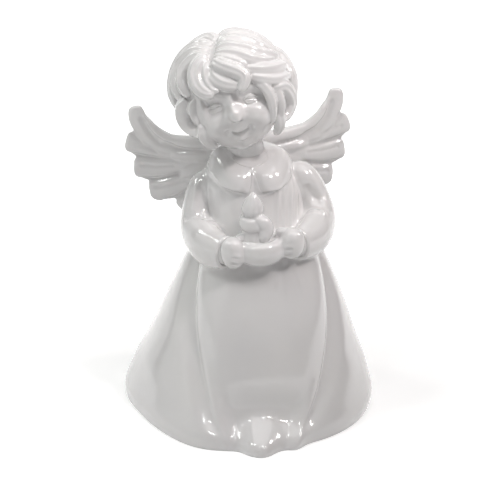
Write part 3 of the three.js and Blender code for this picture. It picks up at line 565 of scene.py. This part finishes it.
# Hair
hair = dict(
    cap=17.3, capGrid=(160, 120), level=18.09, voxel=0.24, soften=2, ridge=0.1,
    taper=0.3, rootDip=0.9, lockGrid=110,
    # the face's window and the nape's edge in degrees, and the skull's share kept in the window
    window=dict(middle=2, about=(29, 37), up=(4, 11), depth=0.7),
    nape=dict(about=(60, 120), up=(-26, -44), fade=9),
    # locks: half width, half height, ridges, how far above the others, the way as angles round and up
    locks=[
        (3.3, 2.5, 3, 0.6, [(-22, 40), (-30, 36), (-35, 28), (-35, 19), (-31, 10), (-24, 4), (-18, 3)]),
        (2.0, 1.9, 2, 0.0, [(-20, 36), (-23, 29), (-24, 21), (-22, 13), (-18, 7), (-13, 5)]),
        (2.5, 2.2, 2, 0.1, [(-23, 44), (-37, 44), (-51, 39), (-58, 31), (-58, 21), (-53, 12), (-46, 5)]),
        (2.7, 2.2, 2, 0.2, [(-24, 50), (-43, 51), (-63, 46), (-74, 36), (-73, 24), (-67, 13), (-58, 2)]),
        (3.0, 2.2, 3, 0.3, [(-20, 58), (-48, 60), (-70, 55), (-84, 42), (-87, 26), (-81, 10), (-72, -2)]),
        (3.2, 2.2, 3, -0.1, [(-18, 70), (-60, 76), (-92, 62), (-104, 42), (-102, 22), (-96, 2)]),
        (3.0, 2.5, 2, 0.3, [(-52, 3), (-58, -3), (-63, -11), (-64, -20), (-59, -28), (-50, -31)]),
        (1.7, 1.8, 1, -0.8, [(-42, 2), (-47, -5), (-49, -14), (-48, -24)]),
        (2.3, 2.0, 2, 0.0, [(-46, -24), (-50, -36), (-53, -48), (-50, -56)]),
        (3.1, 2.2, 3, -0.3, [(-17, 29), (-15, 20), (-8, 13), (1, 9), (9, 8)]),
        (2.8, 2.6, 3, 1.0, [(-14, 35), (-8, 28), (0, 23), (8, 18), (12, 13), (10, 6), (5, 1)]),
        (2.4, 2.0, 2, 0.2, [(-16, 40), (-4, 35), (8, 30), (19, 23)]),
        (2.7, 2.1, 2, 0.2, [(-15, 44), (0, 41), (14, 36), (26, 29), (40, 25), (56, 25)]),
        (2.7, 2.1, 2, 0.2, [(-14, 50), (4, 49), (21, 43), (37, 35), (52, 30), (68, 26)]),
        (2.8, 2.1, 2, 0.3, [(-12, 56), (8, 57), (30, 51), (46, 42), (58, 35)]),
        (3.4, 2.1, 3, -0.1, [(-12, 64), (14, 66), (42, 60), (58, 47), (66, 36), (72, 28)]),
        (3.6, 2.1, 3, -0.3, [(-20, 78), (30, 80), (72, 66), (84, 48), (88, 32)]),
        (2.6, 2.2, 2, 0.2, [(17, 22), (31, 17), (46, 16), (62, 17), (76, 18)]),
        (2.4, 2.1, 2, 0.0, [(19, 14), (30, 9), (45, 6), (61, 7), (76, 6)]),
        (2.9, 2.2, 3, 0.1, [(40, -3), (52, -1), (63, -8), (73, -19), (71, -30), (60, -36)]),
        (1.8, 1.8, 1, -0.3, [(43, 0), (48, -11), (52, -24), (54, -36)]),
        (2.0, 1.8, 2, -0.2, [(24, 10), (32, -1), (37, -13), (40, -26), (43, -37)]),
        (2.4, 1.9, 2, 0.0, [(52, -26), (59, -40), (68, -53)]),
        (3.8, 2.1, 3, -0.9, [(-104, 44), (-114, 26), (-104, 4), (-112, -16), (-98, -32)]),
        (4.0, 2.1, 3, 0.0, [(82, 42), (96, 26), (88, 6), (97, -12), (87, -28)]),
    ],
    # the same wavy lock at each of these angles behind
    back=(5.4, 2.1, 4, 0.0, [(-14, 66), (6, 42), (-7, 18), (7, -4), (-6, -24), (5, -40)]),
    backAngles=(128, 162, 196, 232),
)


def lockShell(halfWidth, halfHeight, ridges, above, way):
    # a fat roll that wraps the ball, with combed ridges over it
    angles = np.array(way, float)
    level = np.full(len(angles), hair["level"] + above)
    level[0] -= hair["rootDip"]
    path = ballPoint(angles[:, 0], angles[:, 1], level)
    grid = hair["lockGrid"]
    return shell(headPlaced(strand(path, halfWidth, halfHeight, lambda points: points, taper=hair["taper"],
                                   around=grid, along=grid, ridges=ridges, ridge=hair["ridge"],
                                   bend=hair["level"])))


def makeHair():
    # the cap is a ball drawn in behind the face and under the nape
    window, nape = hair["window"], hair["nape"]
    about = (turnTable(steps(hair["capGrid"][0])) - 0.5) * 360
    up = np.linspace(90, -90, steps(hair["capGrid"][1]))[:, None]
    beside = ease(np.abs(about - window["middle"]), *window["about"])
    edge = mix(*nape["up"], ease(np.abs(about), *nape["about"]))
    covered = np.maximum(beside, ease(up, *window["up"])) * ease(up, edge - nape["fade"], edge)
    radius = mix(head["half"][0] * window["depth"], hair["cap"], covered)
    shells = [shell(headPlaced(ballPoint(about, up, radius)))]
    shells += [lockShell(*lock) for lock in hair["locks"]]
    *sizes, way = hair["back"]
    shells += [lockShell(*sizes, [(middle + aside, up) for aside, up in way])
               for middle in hair["backAngles"]]
    return fused(shells, hair["voxel"], hair["soften"])


casting("hair", makeHair())

# Collar
collar = dict(
    reach=13.7, neck=6.4, neckDrop=3.8, neckOpen=0.9, thickness=3.6, bulge=1.1, around=320, section=64,
    slope=5.8, frontDrop=4.0, backDrop=1.6, valley=0.8, valleySpread=9.0, valleyRun=(0.1, 0.6),
    lobe=1.8, lobeAngle=27.0, lobeSpread=22.0, notch=1.6, notchAngle=7.0, notchLift=1.2,
)


def makeCollar():
    # a hoop whose soft section slopes outward and down, with two lobes and a notch between;
    # outward = (1 - cos(section)) / 2 runs to the rim and back, and the section rises over its slope by
    # thickness / 2 * (sin(section) - 1) + bulge * sin(pi * outward) - valley
    angle = (turnTable(steps(collar["around"]))[:, None] - 0.5) * 2 * np.pi
    section = allRound(collar["section"])
    front, back = np.maximum(np.cos(angle), 0), np.maximum(-np.cos(angle), 0)
    notch = bell(angle, 0, collar["notchAngle"])
    lobe = bell(np.abs(angle), collar["lobeAngle"], collar["lobeSpread"])
    reach = collar["reach"] + collar["lobe"] * lobe - collar["notch"] * notch
    drop = collar["slope"] + collar["frontDrop"] * front + collar["backDrop"] * back
    drop = drop - collar["notchLift"] * notch
    outward = (1 - np.cos(section)) / 2
    neckDrop = collar["neckDrop"] * front ** 2
    inner = collar["neck"] + collar["neckOpen"] * front ** 2
    slope = np.arctan2(drop - neckDrop, reach - inner)
    valley = bell(angle, 0, collar["valleySpread"]) * ease(outward, *collar["valleyRun"])
    lift = collar["thickness"] / 2 * (np.sin(section) - 1) + collar["bulge"] * np.sin(np.pi * outward)
    lift = lift - collar["valley"] * valley
    radius = mix(inner, reach, outward) + lift * np.sin(slope)
    level = figure["height"] + collar["thickness"] / 2 - mix(neckDrop, drop, outward) + lift * np.cos(slope)
    lean = mix(figure["lean"], figure["lean"] / 2, outward)
    grid = spots(radius * np.sin(angle) - lean, -radius * np.cos(angle), level)
    return plain(shell(grid, closed=True))


casting("collar", makeCollar())

# Sleeves
sleeve = dict(
    shoulder=15.4, forward=20.8, halfWidth=5.6, halfHeight=6.8, cuffDepth=0.5, cuffRim=1.0,
    down=150, bunch=1.2, rimRows=12, cuffRows=10, around=120, shoulderRun=0.25, blunt=0.5,
    turnRun=(0.35, 0.65),
    # across, forward, up, half width and half height, as shares of the sizes above and the robe's height
    left=[(-0.68, -0.02, 0.902, 0.72, 0.62), (-0.97, -0.015, 0.86, 0.83, 0.7), (-1.12, 0.05, 0.787, 0.8, 0.8),
          (-1.12, 0.24, 0.71, 0.95, 0.98), (-0.99, 0.62, 0.684, 0.93, 0.96),
          (-0.69, 0.99, 0.684, 0.72, 0.77)],
    right=[(0.68, -0.02, 0.93, 0.74, 0.66), (0.94, -0.015, 0.893, 0.87, 0.74), (1.2, 0.04, 0.813, 0.89, 0.8),
           (1.27, 0.22, 0.74, 1.0, 0.95), (1.12, 0.59, 0.714, 0.95, 0.92), (0.78, 0.94, 0.706, 0.72, 0.74)],
    # folds: start, end, width, how far they stand out
    marks=dict(
        left=[((-21.2, -6.7, 62.2), (-14.8, -9.8, 63.2), 1.0, -0.8),
              ((-15.2, -10.6, 62.9), (-12.6, -10.6, 61.6), 0.9, 0.5),
              ((-18.0, -3.1, 71.3), (-19.4, -6.5, 65.0), 0.8, 0.35),
              ((-16.0, -4.6, 70.4), (-17.2, -8.1, 64.4), 1.1, -0.5)],
        right=[((16.5, -5.2, 70.3), (18.8, -6.3, 67.8), 1.9, -1.1),
               ((16.2, -10.0, 65.2), (20.4, -10.9, 64.8), 0.9, 0.55),
               ((19.6, -4.9, 70.4), (22.4, -9.3, 64.6), 1.0, 0.3)]),
)


def armOf(side):
    stations = np.array(sleeve[side])
    line = stations[:, :3] * [sleeve["shoulder"], -sleeve["forward"], figure["height"]]
    halves = stations[:, 3:] * [sleeve["halfWidth"], sleeve["halfHeight"]]
    return line, np.column_stack([halves, np.zeros(len(line))])


def makeSleeve(side):
    # an oval tube along the arm, rounded at the shoulder by sin(pi / 2 * share of its run) ** blunt;
    # its end turns in round the wrist: reach carries each ring past the arm, and thin narrows it
    line, sizes = armOf(side)
    arm = np.linspace(0, 1, steps(sleeve["down"])) ** sleeve["bunch"]
    rim = np.linspace(0, np.pi, sleeve["rimRows"])[1:-1]
    inside = np.linspace(0, 1, sleeve["cuffRows"])
    row = np.r_[arm, np.ones(len(rim) + len(inside))]
    half = sleeve["cuffRim"] / 2
    reach = np.r_[0 * arm, np.sin(rim) * half, -inside * sleeve["cuffDepth"]]
    thin = np.r_[0 * arm, (1 - np.cos(rim)) * half, 0 * inside + sleeve["cuffRim"]]
    centre, ahead = pathAt(line, row, even=False), pathAhead(line, row, even=False)
    upright = ease(row, *sleeve["turnRun"])
    aside = unit(np.cross(ahead, unit(spots(0 * row, upright - 1, upright))))
    lift = np.cross(aside, ahead)
    size = pathAt(sizes, row, even=False)
    full = np.sin(np.pi / 2 * np.minimum(row / sleeve["shoulderRun"], 1)) ** sleeve["blunt"]
    centre = centre + ahead * reach[:, None]
    angle = allRound(sleeve["around"])
    across, above = ((size[:, k] * full - thin)[:, None, None] for k in (0, 1))
    outward = (aside[:, None] * np.cos(angle)[:, None] * across
               + lift[:, None] * np.sin(angle)[:, None] * above)
    grid = pressed(centre[:, None] + outward, unit(outward), sleeve["marks"][side])
    grid[0] = centre[0]
    return np.r_[grid, 0 * grid[:1] + centre[-1]]


for side in ("left", "right"):
    casting(side + "_sleeve", plain(shell(makeSleeve(side))))

# Candle on its dish
# profiles run from foot to top, as shares of the radius and the height
dish = dict(
    radius=7.3, height=7.6, level=53.218, aside=1.0, tilt=7.0, socket=1.2, floor=0.94,
    profile=[(0, 0), (0.45, 0), (0.82, 0.14), (1, 0.46), (1.0, 0.66), (0.9, 0.9), (0.72, 1), (0.5, 0.94),
             (0, 0.94)],
)
candle = dict(
    radius=3.4, height=9.0, aside=2.6, well=0.7, voxel=0.18, soften=16,
    # the barrel: shares of the radius, with heights over the foot and then depths under the top
    lower=[(0, 0), (1.04, 0), (1.08, 1.4), (1.0, 2.8), (0.9, 4.2)],
    upper=[(0.9, 2.72), (0.8, 0.68), (0.62, 0.1), (0.4, 0.7), (0, 0.7)],
    # the overhanging rim, a little lower in front: its angles, radius share and depths
    rimAngles=(-170, -120, -75, -35, 5, 45, 85, 120, 150), rimRadius=0.86, rimDepth=2.1, rimFront=0.5,
    rimHalf=(2.1, 1.15), rimBlunt=0.35,
    # the drip's way from the middle of the top, and the bead beside it
    drip=[(-0.45, -1.54, -1.1), (2.41, -1.54, -1.54), (3.84, -1.32, -3.3), (3.51, -1.54, -5.72),
          (2.19, -1.98, -8.0)],
    dripHalf=(2.86, 2.42), bead=(-1.2, -1.1, -0.4), beadHalf=(1.1, 1.1), dripBlunt=0.6,
)
flame = dict(
    radius=3.3, height=7.8, sink=0.5,
    profile=[(0, 0), (0.55, 0), (0.6, 0.08), (0.88, 0.2), (1.02, 0.38), (0.94, 0.56), (0.68, 0.78),
             (0.33, 0.98), (0, 1.08)],
    # upright creases: depth as a share of the radius, angle and spread in radians
    creases=[(0.07, 0.42, 0.2), (0.05, -0.12, 0.15), (0.05, -0.7, 0.2)],
)


def latheForm(form, level, down, around):
    # a form's profile of shares, carried round the axis
    corners = [(r * form["radius"], level + z * form["height"]) for r, z in form["profile"]]
    return turned(roundedProfile(corners, steps(down)), steps(around))


dishPlace = [dish["aside"], -sleeve["forward"], dish["level"]]
casting("candle_dish", plain(shell(rolled(latheForm(dish, 0, 90, 120), dish["tilt"]) + dishPlace)))

candleFoot = dish["level"] + dish["height"] * dish["floor"] - dish["socket"]
candleTop = candleFoot + candle["height"]
candleAxis = [-candle["aside"], -sleeve["forward"], 0]


def makeCandle():
    # a short round candle with a hollow top, and wax that runs over its rim
    r, top = candle["radius"], candleTop
    corners = [(r * share, candleFoot + above) for share, above in candle["lower"]]
    corners += [(r * share, top - under) for share, under in candle["upper"]]
    profile = roundedProfile(corners, steps(90))
    turn, reach = np.radians(np.array(candle["rimAngles"])), r * candle["rimRadius"]
    rim = spots(reach * np.sin(turn), -reach * np.cos(turn),
                top - candle["rimDepth"] - candle["rimFront"] * np.cos(turn))
    way = np.array(candle["drip"]) + candleAxis + [0, 0, top]
    shells = [shell(turned(profile, steps(110), candleAxis)),
              shell(strand(rim + candleAxis, *candle["rimHalf"],
                           lambda points: unit((points - candleAxis) * [1, 1, 0]), blunt=candle["rimBlunt"]))]
    shells += [shell(strand(path, *half, always(1, 0, 0), blunt=candle["dripBlunt"])) for path, half in (
        (way, candle["dripHalf"]), (way[1:4] + candle["bead"], candle["beadHalf"]))]
    return fused(shells, candle["voxel"], candle["soften"])


casting("candle", makeCandle())


def makeFlame():
    # a lathe form, its radius less by the sum of its creases
    foot = candleTop - candle["well"] - flame["sink"]
    grid = latheForm(flame, foot, 80, 110)
    turn = np.arctan2(grid[..., 0], -grid[..., 1])
    creases = sum(depth * bump(turn, middle, spread) for depth, middle, spread in flame["creases"])
    grid[..., :2] *= (1 - creases)[..., None]
    return plain(shell(grid + candleAxis))


casting("flame", makeFlame())

# Hands
hand = dict(
    voxel=0.18, soften=3, wristHalf=(2.95, 3.8), wristBlunt=0.2, wristStart=3.2, wristInside=1.5,
    thumbHalf=(1.7, 1.4), thumbBlunt=0.5, grooveWidth=0.42, grooveDepth=0.5,
)
# each fist: middle, half sizes, sideways lean, the thumb's way from the middle, and the finger lines
fists = dict(
    left=dict(middle=(-8.4, -23.2, 57.1), half=(3.8, 3.7, 4.9), lean=-8.0,
              thumb=[(0.6, 1.2, 3.6), (3.2, 1.6, 4.2), (6.4, 2.0, 4.3)],
              grooves=[[(-8.2, -27.3, 58.6), (-5.4, -26.6, 58.0), (-4.4, -25.4, 57.8)],
                       [(-8.8, -27.2, 56.6), (-5.8, -26.7, 55.9), (-4.6, -25.5, 55.7)],
                       [(-9.0, -26.7, 54.7), (-6.2, -26.3, 54.0), (-5.0, -25.3, 53.9)]]),
    right=dict(middle=(9.3, -22.3, 59.5), half=(4.0, 3.8, 4.8), lean=6.0,
               thumb=[(-0.4, 0.4, 2.9), (-2.4, 1.2, 3.1), (-4.6, 2.2, 2.6)],
               grooves=[[(8.2, -26.1, 61.0), (5.4, -25.4, 60.4)], [(8.6, -26.2, 58.9), (5.6, -25.4, 58.3)],
                        [(8.9, -25.8, 56.8), (6.0, -25.0, 56.3)]]),
)


def ball(middle, half, lean, around=60, along=40, squareness=0.85):
    # an egg whose rings swell by sin(tilt) ** squareness, leaning sideways
    tilt = np.linspace(0, np.pi, steps(along))[:, None]
    angle = allRound(around)
    full = np.sin(tilt) ** squareness
    full[[0, -1]] = 0
    points = spots(full * np.cos(angle), full * np.sin(angle), np.cos(tilt)) * half
    return rolled(points, -lean) + middle


def makeHand(side):
    # a plump fist on a short wrist, with its thumb and shallow lines between the fingers
    fist = fists[side]
    line, _ = armOf(side)
    cuff, facing = line[-1], pathAhead(line, np.array([1.0]), even=False)[0]
    middle = np.array(fist["middle"])
    wrist = np.array([cuff - facing * hand["wristStart"], cuff - facing * hand["wristInside"],
                      (cuff + middle) / 2, middle])
    shells = [shell(ball(middle, fist["half"], fist["lean"])),
              shell(strand(wrist, *hand["wristHalf"], always(0, 0, 1), blunt=hand["wristBlunt"])),
              shell(strand(middle + np.array(fist["thumb"]), *hand["thumbHalf"], always(0, 0, 1),
                           blunt=hand["thumbBlunt"], around=24, along=30))]
    lines = [(path, hand["grooveWidth"], -hand["grooveDepth"]) for path in fist["grooves"]]
    return fused(shells, hand["voxel"], hand["soften"], lines)


for side in ("left", "right"):
    casting(side + "_hand", makeHand(side))

# Wings
wing = dict(
    reach=35.3, thickness=3.4, sweep=9.0, roll=5.0, place=(-3.2, 13.0, 82.0), voxel=0.28, soften=5, settle=2,
    blunt=0.45, faceOut=0.03, cutWiden=1.25, cutDeepen=1.3,
    # half width, thickness share, then the way out and up, as shares of the reach
    feathers=[
        (0.1, 1, [(0.25, -0.08), (0.45, -0.08), (0.66, -0.035), (0.8, 0.08), (0.875, 0.2), (0.895, 0.32)]),
        (0.15, 0.95, [(0.2, -0.12), (0.45, -0.125), (0.69, -0.095), (0.86, -0.04), (1, 0.005)]),
        (0.15, 0.9, [(0.2, -0.2), (0.45, -0.235), (0.68, -0.25), (0.84, -0.25), (0.95, -0.24)]),
        (0.145, 0.85, [(0.2, -0.26), (0.42, -0.35), (0.6, -0.42), (0.73, -0.455), (0.83, -0.465)]),
        (0.125, 0.8, [(0.16, -0.28), (0.31, -0.42), (0.44, -0.54), (0.56, -0.66)]),
        (0.045, 1.3, [(0.12, -0.03), (0.42, -0.03), (0.61, 0), (0.735, 0.085), (0.805, 0.18), (0.85, 0.265)]),
        (0.07, 1.5, [(0.1, -0.07), (0.34, -0.055), (0.52, -0.035), (0.63, 0.005)]),
        (0.085, 1.4, [(0.1, -0.16), (0.36, -0.155), (0.53, -0.15), (0.64, -0.15)]),
        (0.09, 1.3, [(0.1, -0.25), (0.32, -0.27), (0.47, -0.3), (0.57, -0.335)]),
    ],
    # lines cut between the feathers and along them: width, depth (a ridge where it is below zero), way
    cuts=[
        (1.0, 0.75, [(0.34, -0.1), (0.55, -0.075), (0.7, -0.02), (0.79, 0.08), (0.83, 0.2)]),
        (0.6, 0.55, [(0.55, -0.15), (0.72, -0.12), (0.86, -0.02), (0.93, 0.07)]),
        (0.7, 0.7, [(0.42, -0.185), (0.65, -0.175), (0.83, -0.15), (0.98, -0.125)]),
        (0.7, 0.7, [(0.36, -0.28), (0.56, -0.32), (0.74, -0.36), (0.9, -0.355)]),
        (0.7, 0.7, [(0.3, -0.36), (0.44, -0.45), (0.58, -0.54), (0.7, -0.58)]),
        (0.45, 0.35, [(0.62, -0.1), (0.78, -0.07), (0.92, -0.03)]),
        (0.45, 0.35, [(0.6, -0.23), (0.76, -0.235), (0.88, -0.22)]),
        (0.45, 0.35, [(0.5, -0.37), (0.66, -0.42), (0.78, -0.435)]),
        (0.5, -0.4, [(0.4, -0.02), (0.6, 0.01), (0.73, 0.09), (0.82, 0.22)]),
    ],
)


def wingPlaced(points, sign):
    # mirrored for the other side, then the pair is rolled as one
    return rolled(points * [sign, 1, 1], wing["roll"]) + wing["place"]


def makeWing(sign):
    # each feather is a strand that sweeps back with its reach; the cuts run on both faces
    sweep = math.tan(math.radians(wing["sweep"]))

    def wayOut(way, forward=0.0):
        return np.array([(out, out * sweep - forward, up) for out, up in way]) * wing["reach"]

    shells = []
    for width, thick, way in wing["feathers"]:
        grid = strand(wayOut(way), width * wing["reach"], thick * wing["thickness"] / 2, always(-sweep, 1, 0),
                      blunt=wing["blunt"], around=48, along=60)
        shells.append(shell(wingPlaced(grid, sign)))
    marks = [(wingPlaced(wayOut(way, face * wing["faceOut"]), sign),
              width * wing["cutWiden"], -depth * wing["cutDeepen"])
             for width, depth, way in wing["cuts"] for face in (-1, 1)]
    return fused(shells, wing["voxel"], wing["soften"], marks, wing["settle"])


for side, sign in (("left", -1), ("right", 1)):
    casting(side + "_wing", makeWing(sign))

# Glaze fills the seams: each skin swells by width / 2 * (1 - distance / width) squared beside its neighbour
arms, wings = ["left_sleeve", "right_sleeve"], ["left_wing", "right_wing"]
seams = [("robe_shell", ["collar", *arms, *wings, "candle_dish"], 1.6),
         ("collar", ["robe_shell", *arms, "head", *wings], 1.4),
         ("head", ["hair", "collar"], 0.9), ("hair", ["head"], 0.9),
         ("candle_dish", ["left_hand", "right_hand", "candle", "robe_shell"], 1.1),
         ("candle", ["candle_dish", "flame"], 0.8), ("flame", ["candle"], 0.7)]
for side in ("left", "right"):
    seams += [(side + "_sleeve", ["robe_shell", "collar", side + "_wing", side + "_hand"], 1.6),
              (side + "_wing", ["robe_shell", "collar", side + "_sleeve"], 1.6),
              (side + "_hand", ["candle_dish", "robe_shell", side + "_sleeve"], 1.1)]


def glazeSeams():
    filled = {}
    for node, neighbours, width in seams:
        piece = castings[node]
        for neighbour in neighbours:
            group = piece.vertex_groups.new(name=neighbour)
            group.add(range(len(piece.data.vertices)), 0.0, "REPLACE")
            near = piece.modifiers.new("near", "VERTEX_WEIGHT_PROXIMITY")
            near.vertex_group, near.target = group.name, castings[neighbour]
            near.proximity_mode, near.proximity_geometry = "GEOMETRY", {"FACE"}
            near.min_dist, near.max_dist, near.falloff_type = width * millimetre, 0.0, "SHARP"
        for neighbour in neighbours:
            fill = piece.modifiers.new("fill", "DISPLACE")
            fill.direction, fill.mid_level, fill.vertex_group = "NORMAL", 0.0, neighbour
            fill.strength = width / 2 * millimetre
        filled[node] = baked(piece)
    for node, mesh in filled.items():
        castings[node].data = mesh
        mesh.name = castings[node].name


glazeSeams()
print("seams filled")

for node, piece in castings.items():
    piece.vertex_groups.clear()
    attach(piece, "root")
    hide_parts(node)

# Camera at the photograph's angle: from the left and above, and rolled
view = dict(azimuth=-7.0, elevation=21.0, roll=1.7, distance=0.6, target=(-0.0005, 0.00285, 0.0489),
            lens=138.6, sensor=36, clip=(0.01, 20))


def makeCamera():
    a, roll = math.radians(view["azimuth"]), math.radians(view["roll"])
    back = Vector(ballPoint(view["azimuth"], view["elevation"]))
    right = Vector((math.cos(a), math.sin(a), 0))
    up = back.cross(right)
    turnedRight = right * math.cos(roll) + up * math.sin(roll)
    turnedUp = up * math.cos(roll) - right * math.sin(roll)
    data = bpy.data.cameras.new("photoCamera")
    data.sensor_width, data.lens = view["sensor"], view["lens"]
    data.clip_start, data.clip_end = view["clip"]
    camera = bringIn("photoCamera", data)
    camera.matrix_world = Matrix.Translation(Vector(view["target"]) + back * view["distance"]) @ Matrix(
        (turnedRight, turnedUp, back)).transposed().to_4x4()
    bpy.context.scene.camera = camera


makeCamera()

# Studio: a white sweep, a dim sky and soft lamps
studio = dict(
    floor=(0.86 * 0.99, 0.86 * 1.01), grain=(900, 2),
    sockets={"Roughness": 0.9, "Specular IOR Level": 0.0, "Emission Color": (1, 1, 1, 1)},
    # the paper's glow beside the figure and far from it
    lift=(0.42, 0.75), liftRadii=(0.05, 0.22),
    half=1.6, bendFrom=0.6, bend=0.5, top=1.4,
    sky=(1.0, 0.985, 0.97, 1), skyStrength=(0.03, 0.09), skyRange=(-0.2, 1),
)


def makePaper():
    material, nodes, links, surface = newMaterial("paper")
    put(surface, studio["sockets"])
    place = nodes.new("ShaderNodeTexCoord")
    grain = noise(nodes, links, place, *studio["grain"])
    links.new(ranged(nodes, links, grain, studio["floor"]), surface.inputs["Base Color"])
    # the paper glows less beside the figure, so that its shadow shows there
    away = nodes.new("ShaderNodeVectorMath")
    away.operation = "LENGTH"
    links.new(place.outputs["Object"], away.inputs[0])
    glow = ranged(nodes, links, away.outputs["Value"], studio["lift"], studio["liftRadii"])
    # and it glows only for the camera and in reflections
    seen = nodes.new("ShaderNodeLightPath")
    either = nodes.new("ShaderNodeMath")
    either.operation, either.use_clamp = "ADD", True
    lift = nodes.new("ShaderNodeMath")
    lift.operation = "MULTIPLY"
    links.new(seen.outputs["Is Camera Ray"], either.inputs[0])
    links.new(seen.outputs["Is Glossy Ray"], either.inputs[1])
    links.new(either.outputs[0], lift.inputs[0])
    links.new(glow, lift.inputs[1])
    links.new(lift.outputs[0], surface.inputs["Emission Strength"])
    return material


def makeSweep():
    # flat under the figure, then a quarter turn up behind it
    half, start, bend = studio["half"], studio["bendFrom"], studio["bend"]
    quarter = np.linspace(0, np.pi / 2, 16)
    along = np.r_[np.linspace(-half, start, 12), start + bend * np.sin(quarter), np.full(6, start + bend)]
    level = np.r_[np.zeros(12), bend * (1 - np.cos(quarter)), np.linspace(bend, studio["top"], 7)[1:]]
    across = np.linspace(-half, half, 12)
    grid = spots(across[None, :], along[:, None], level[:, None])
    rows, columns = grid.shape[:2]
    index = np.arange(rows * columns).reshape(rows, columns)
    faces = np.stack([index[:-1, :-1], index[:-1, 1:], index[1:, 1:], index[1:, :-1]], -1).reshape(-1, 4)
    mesh = bpy.data.meshes.new("sweep")
    mesh.from_pydata(grid.reshape(-1, 3).tolist(), [], faces.tolist())
    sweep = bringIn("sweep", smoothed(mesh))
    mesh.materials.append(makePaper())


def makeSky():
    world = bpy.data.worlds.new("studioSky")
    world.use_nodes = True
    nodes, links = world.node_tree.nodes, world.node_tree.links
    back = nodes["Background"]
    # brighter overhead than at the horizon, and duller below it
    aim = nodes.new("ShaderNodeTexCoord")
    split = nodes.new("ShaderNodeSeparateXYZ")
    links.new(aim.outputs["Generated"], split.inputs["Vector"])
    fade = ranged(nodes, links, split.outputs["Z"], studio["skyStrength"], studio["skyRange"])
    links.new(fade, back.inputs["Strength"])
    back.inputs["Color"].default_value = studio["sky"]
    bpy.context.scene.world = world


# name, azimuth, elevation and distance from the figure, size in metres, power in watts, colour
lamps = [
    ("overhead", 60, 80, 0.85, (0.7, 0.7), 2.5, (1.0, 0.985, 0.975)),
    ("front", -7, 10, 0.9, (1.5, 0.5), 0.65, (1.0, 0.98, 0.975)),
    ("sideLeft", -80, 14, 0.9, (1.1, 0.7), 1.3, (0.975, 1.0, 0.965)),
    ("boxLeft", -70, 52, 0.8, (0.08, 0.16), 0.75, (0.98, 1.0, 0.97)),
    ("boxBack", -110, 40, 0.8, (0.1, 0.18), 0.7, (0.98, 1.0, 0.97)),
    ("boxRight", 85, 40, 0.8, (0.1, 0.14), 1.0, (1.0, 0.92, 0.91)),
    ("glint", -12, 60, 0.75, (0.06, 0.06), 0.2, (1, 1, 1)),
    ("glintLeft", -50, 64, 0.75, (0.04, 0.08), 0.2, (1, 1, 1)),
    ("glintRight", 30, 64, 0.75, (0.04, 0.08), 0.2, (1, 1, 1)),
    ("glow", 45, 50, 0.6, 0.05, 8.0, (1.0, 0.94, 0.93)),
]
lampAim = dict(box=0.06, spot=0.105, cone=15)  # the heights they point at, and the spot's cone


def makeLamps():
    # soft boxes all round, and one soft spot (a single size) on the head and shoulders
    for name, azimuth, elevation, distance, size, power, colour in lamps:
        spot = isinstance(size, float)
        data = bpy.data.lights.new(name, "SPOT" if spot else "AREA")
        data.energy, data.color = power, colour
        if spot:
            data.spot_size, data.spot_blend, data.shadow_soft_size = math.radians(lampAim["cone"]), 1.0, size
        else:
            data.shape, data.size, data.size_y = "RECTANGLE", size[0], size[1]
        away = Vector(ballPoint(azimuth, elevation))
        lamp = bringIn(name, data)
        lamp.location = Vector((0, 0, lampAim["spot" if spot else "box"])) + away * distance
        lamp.rotation_euler = away.to_track_quat("Z", "Y").to_euler()


makeSweep()
makeSky()
makeLamps()
bpy.context.scene.view_settings.view_transform = "Standard"
print("studio ready")

bpy.context.view_layer.update()
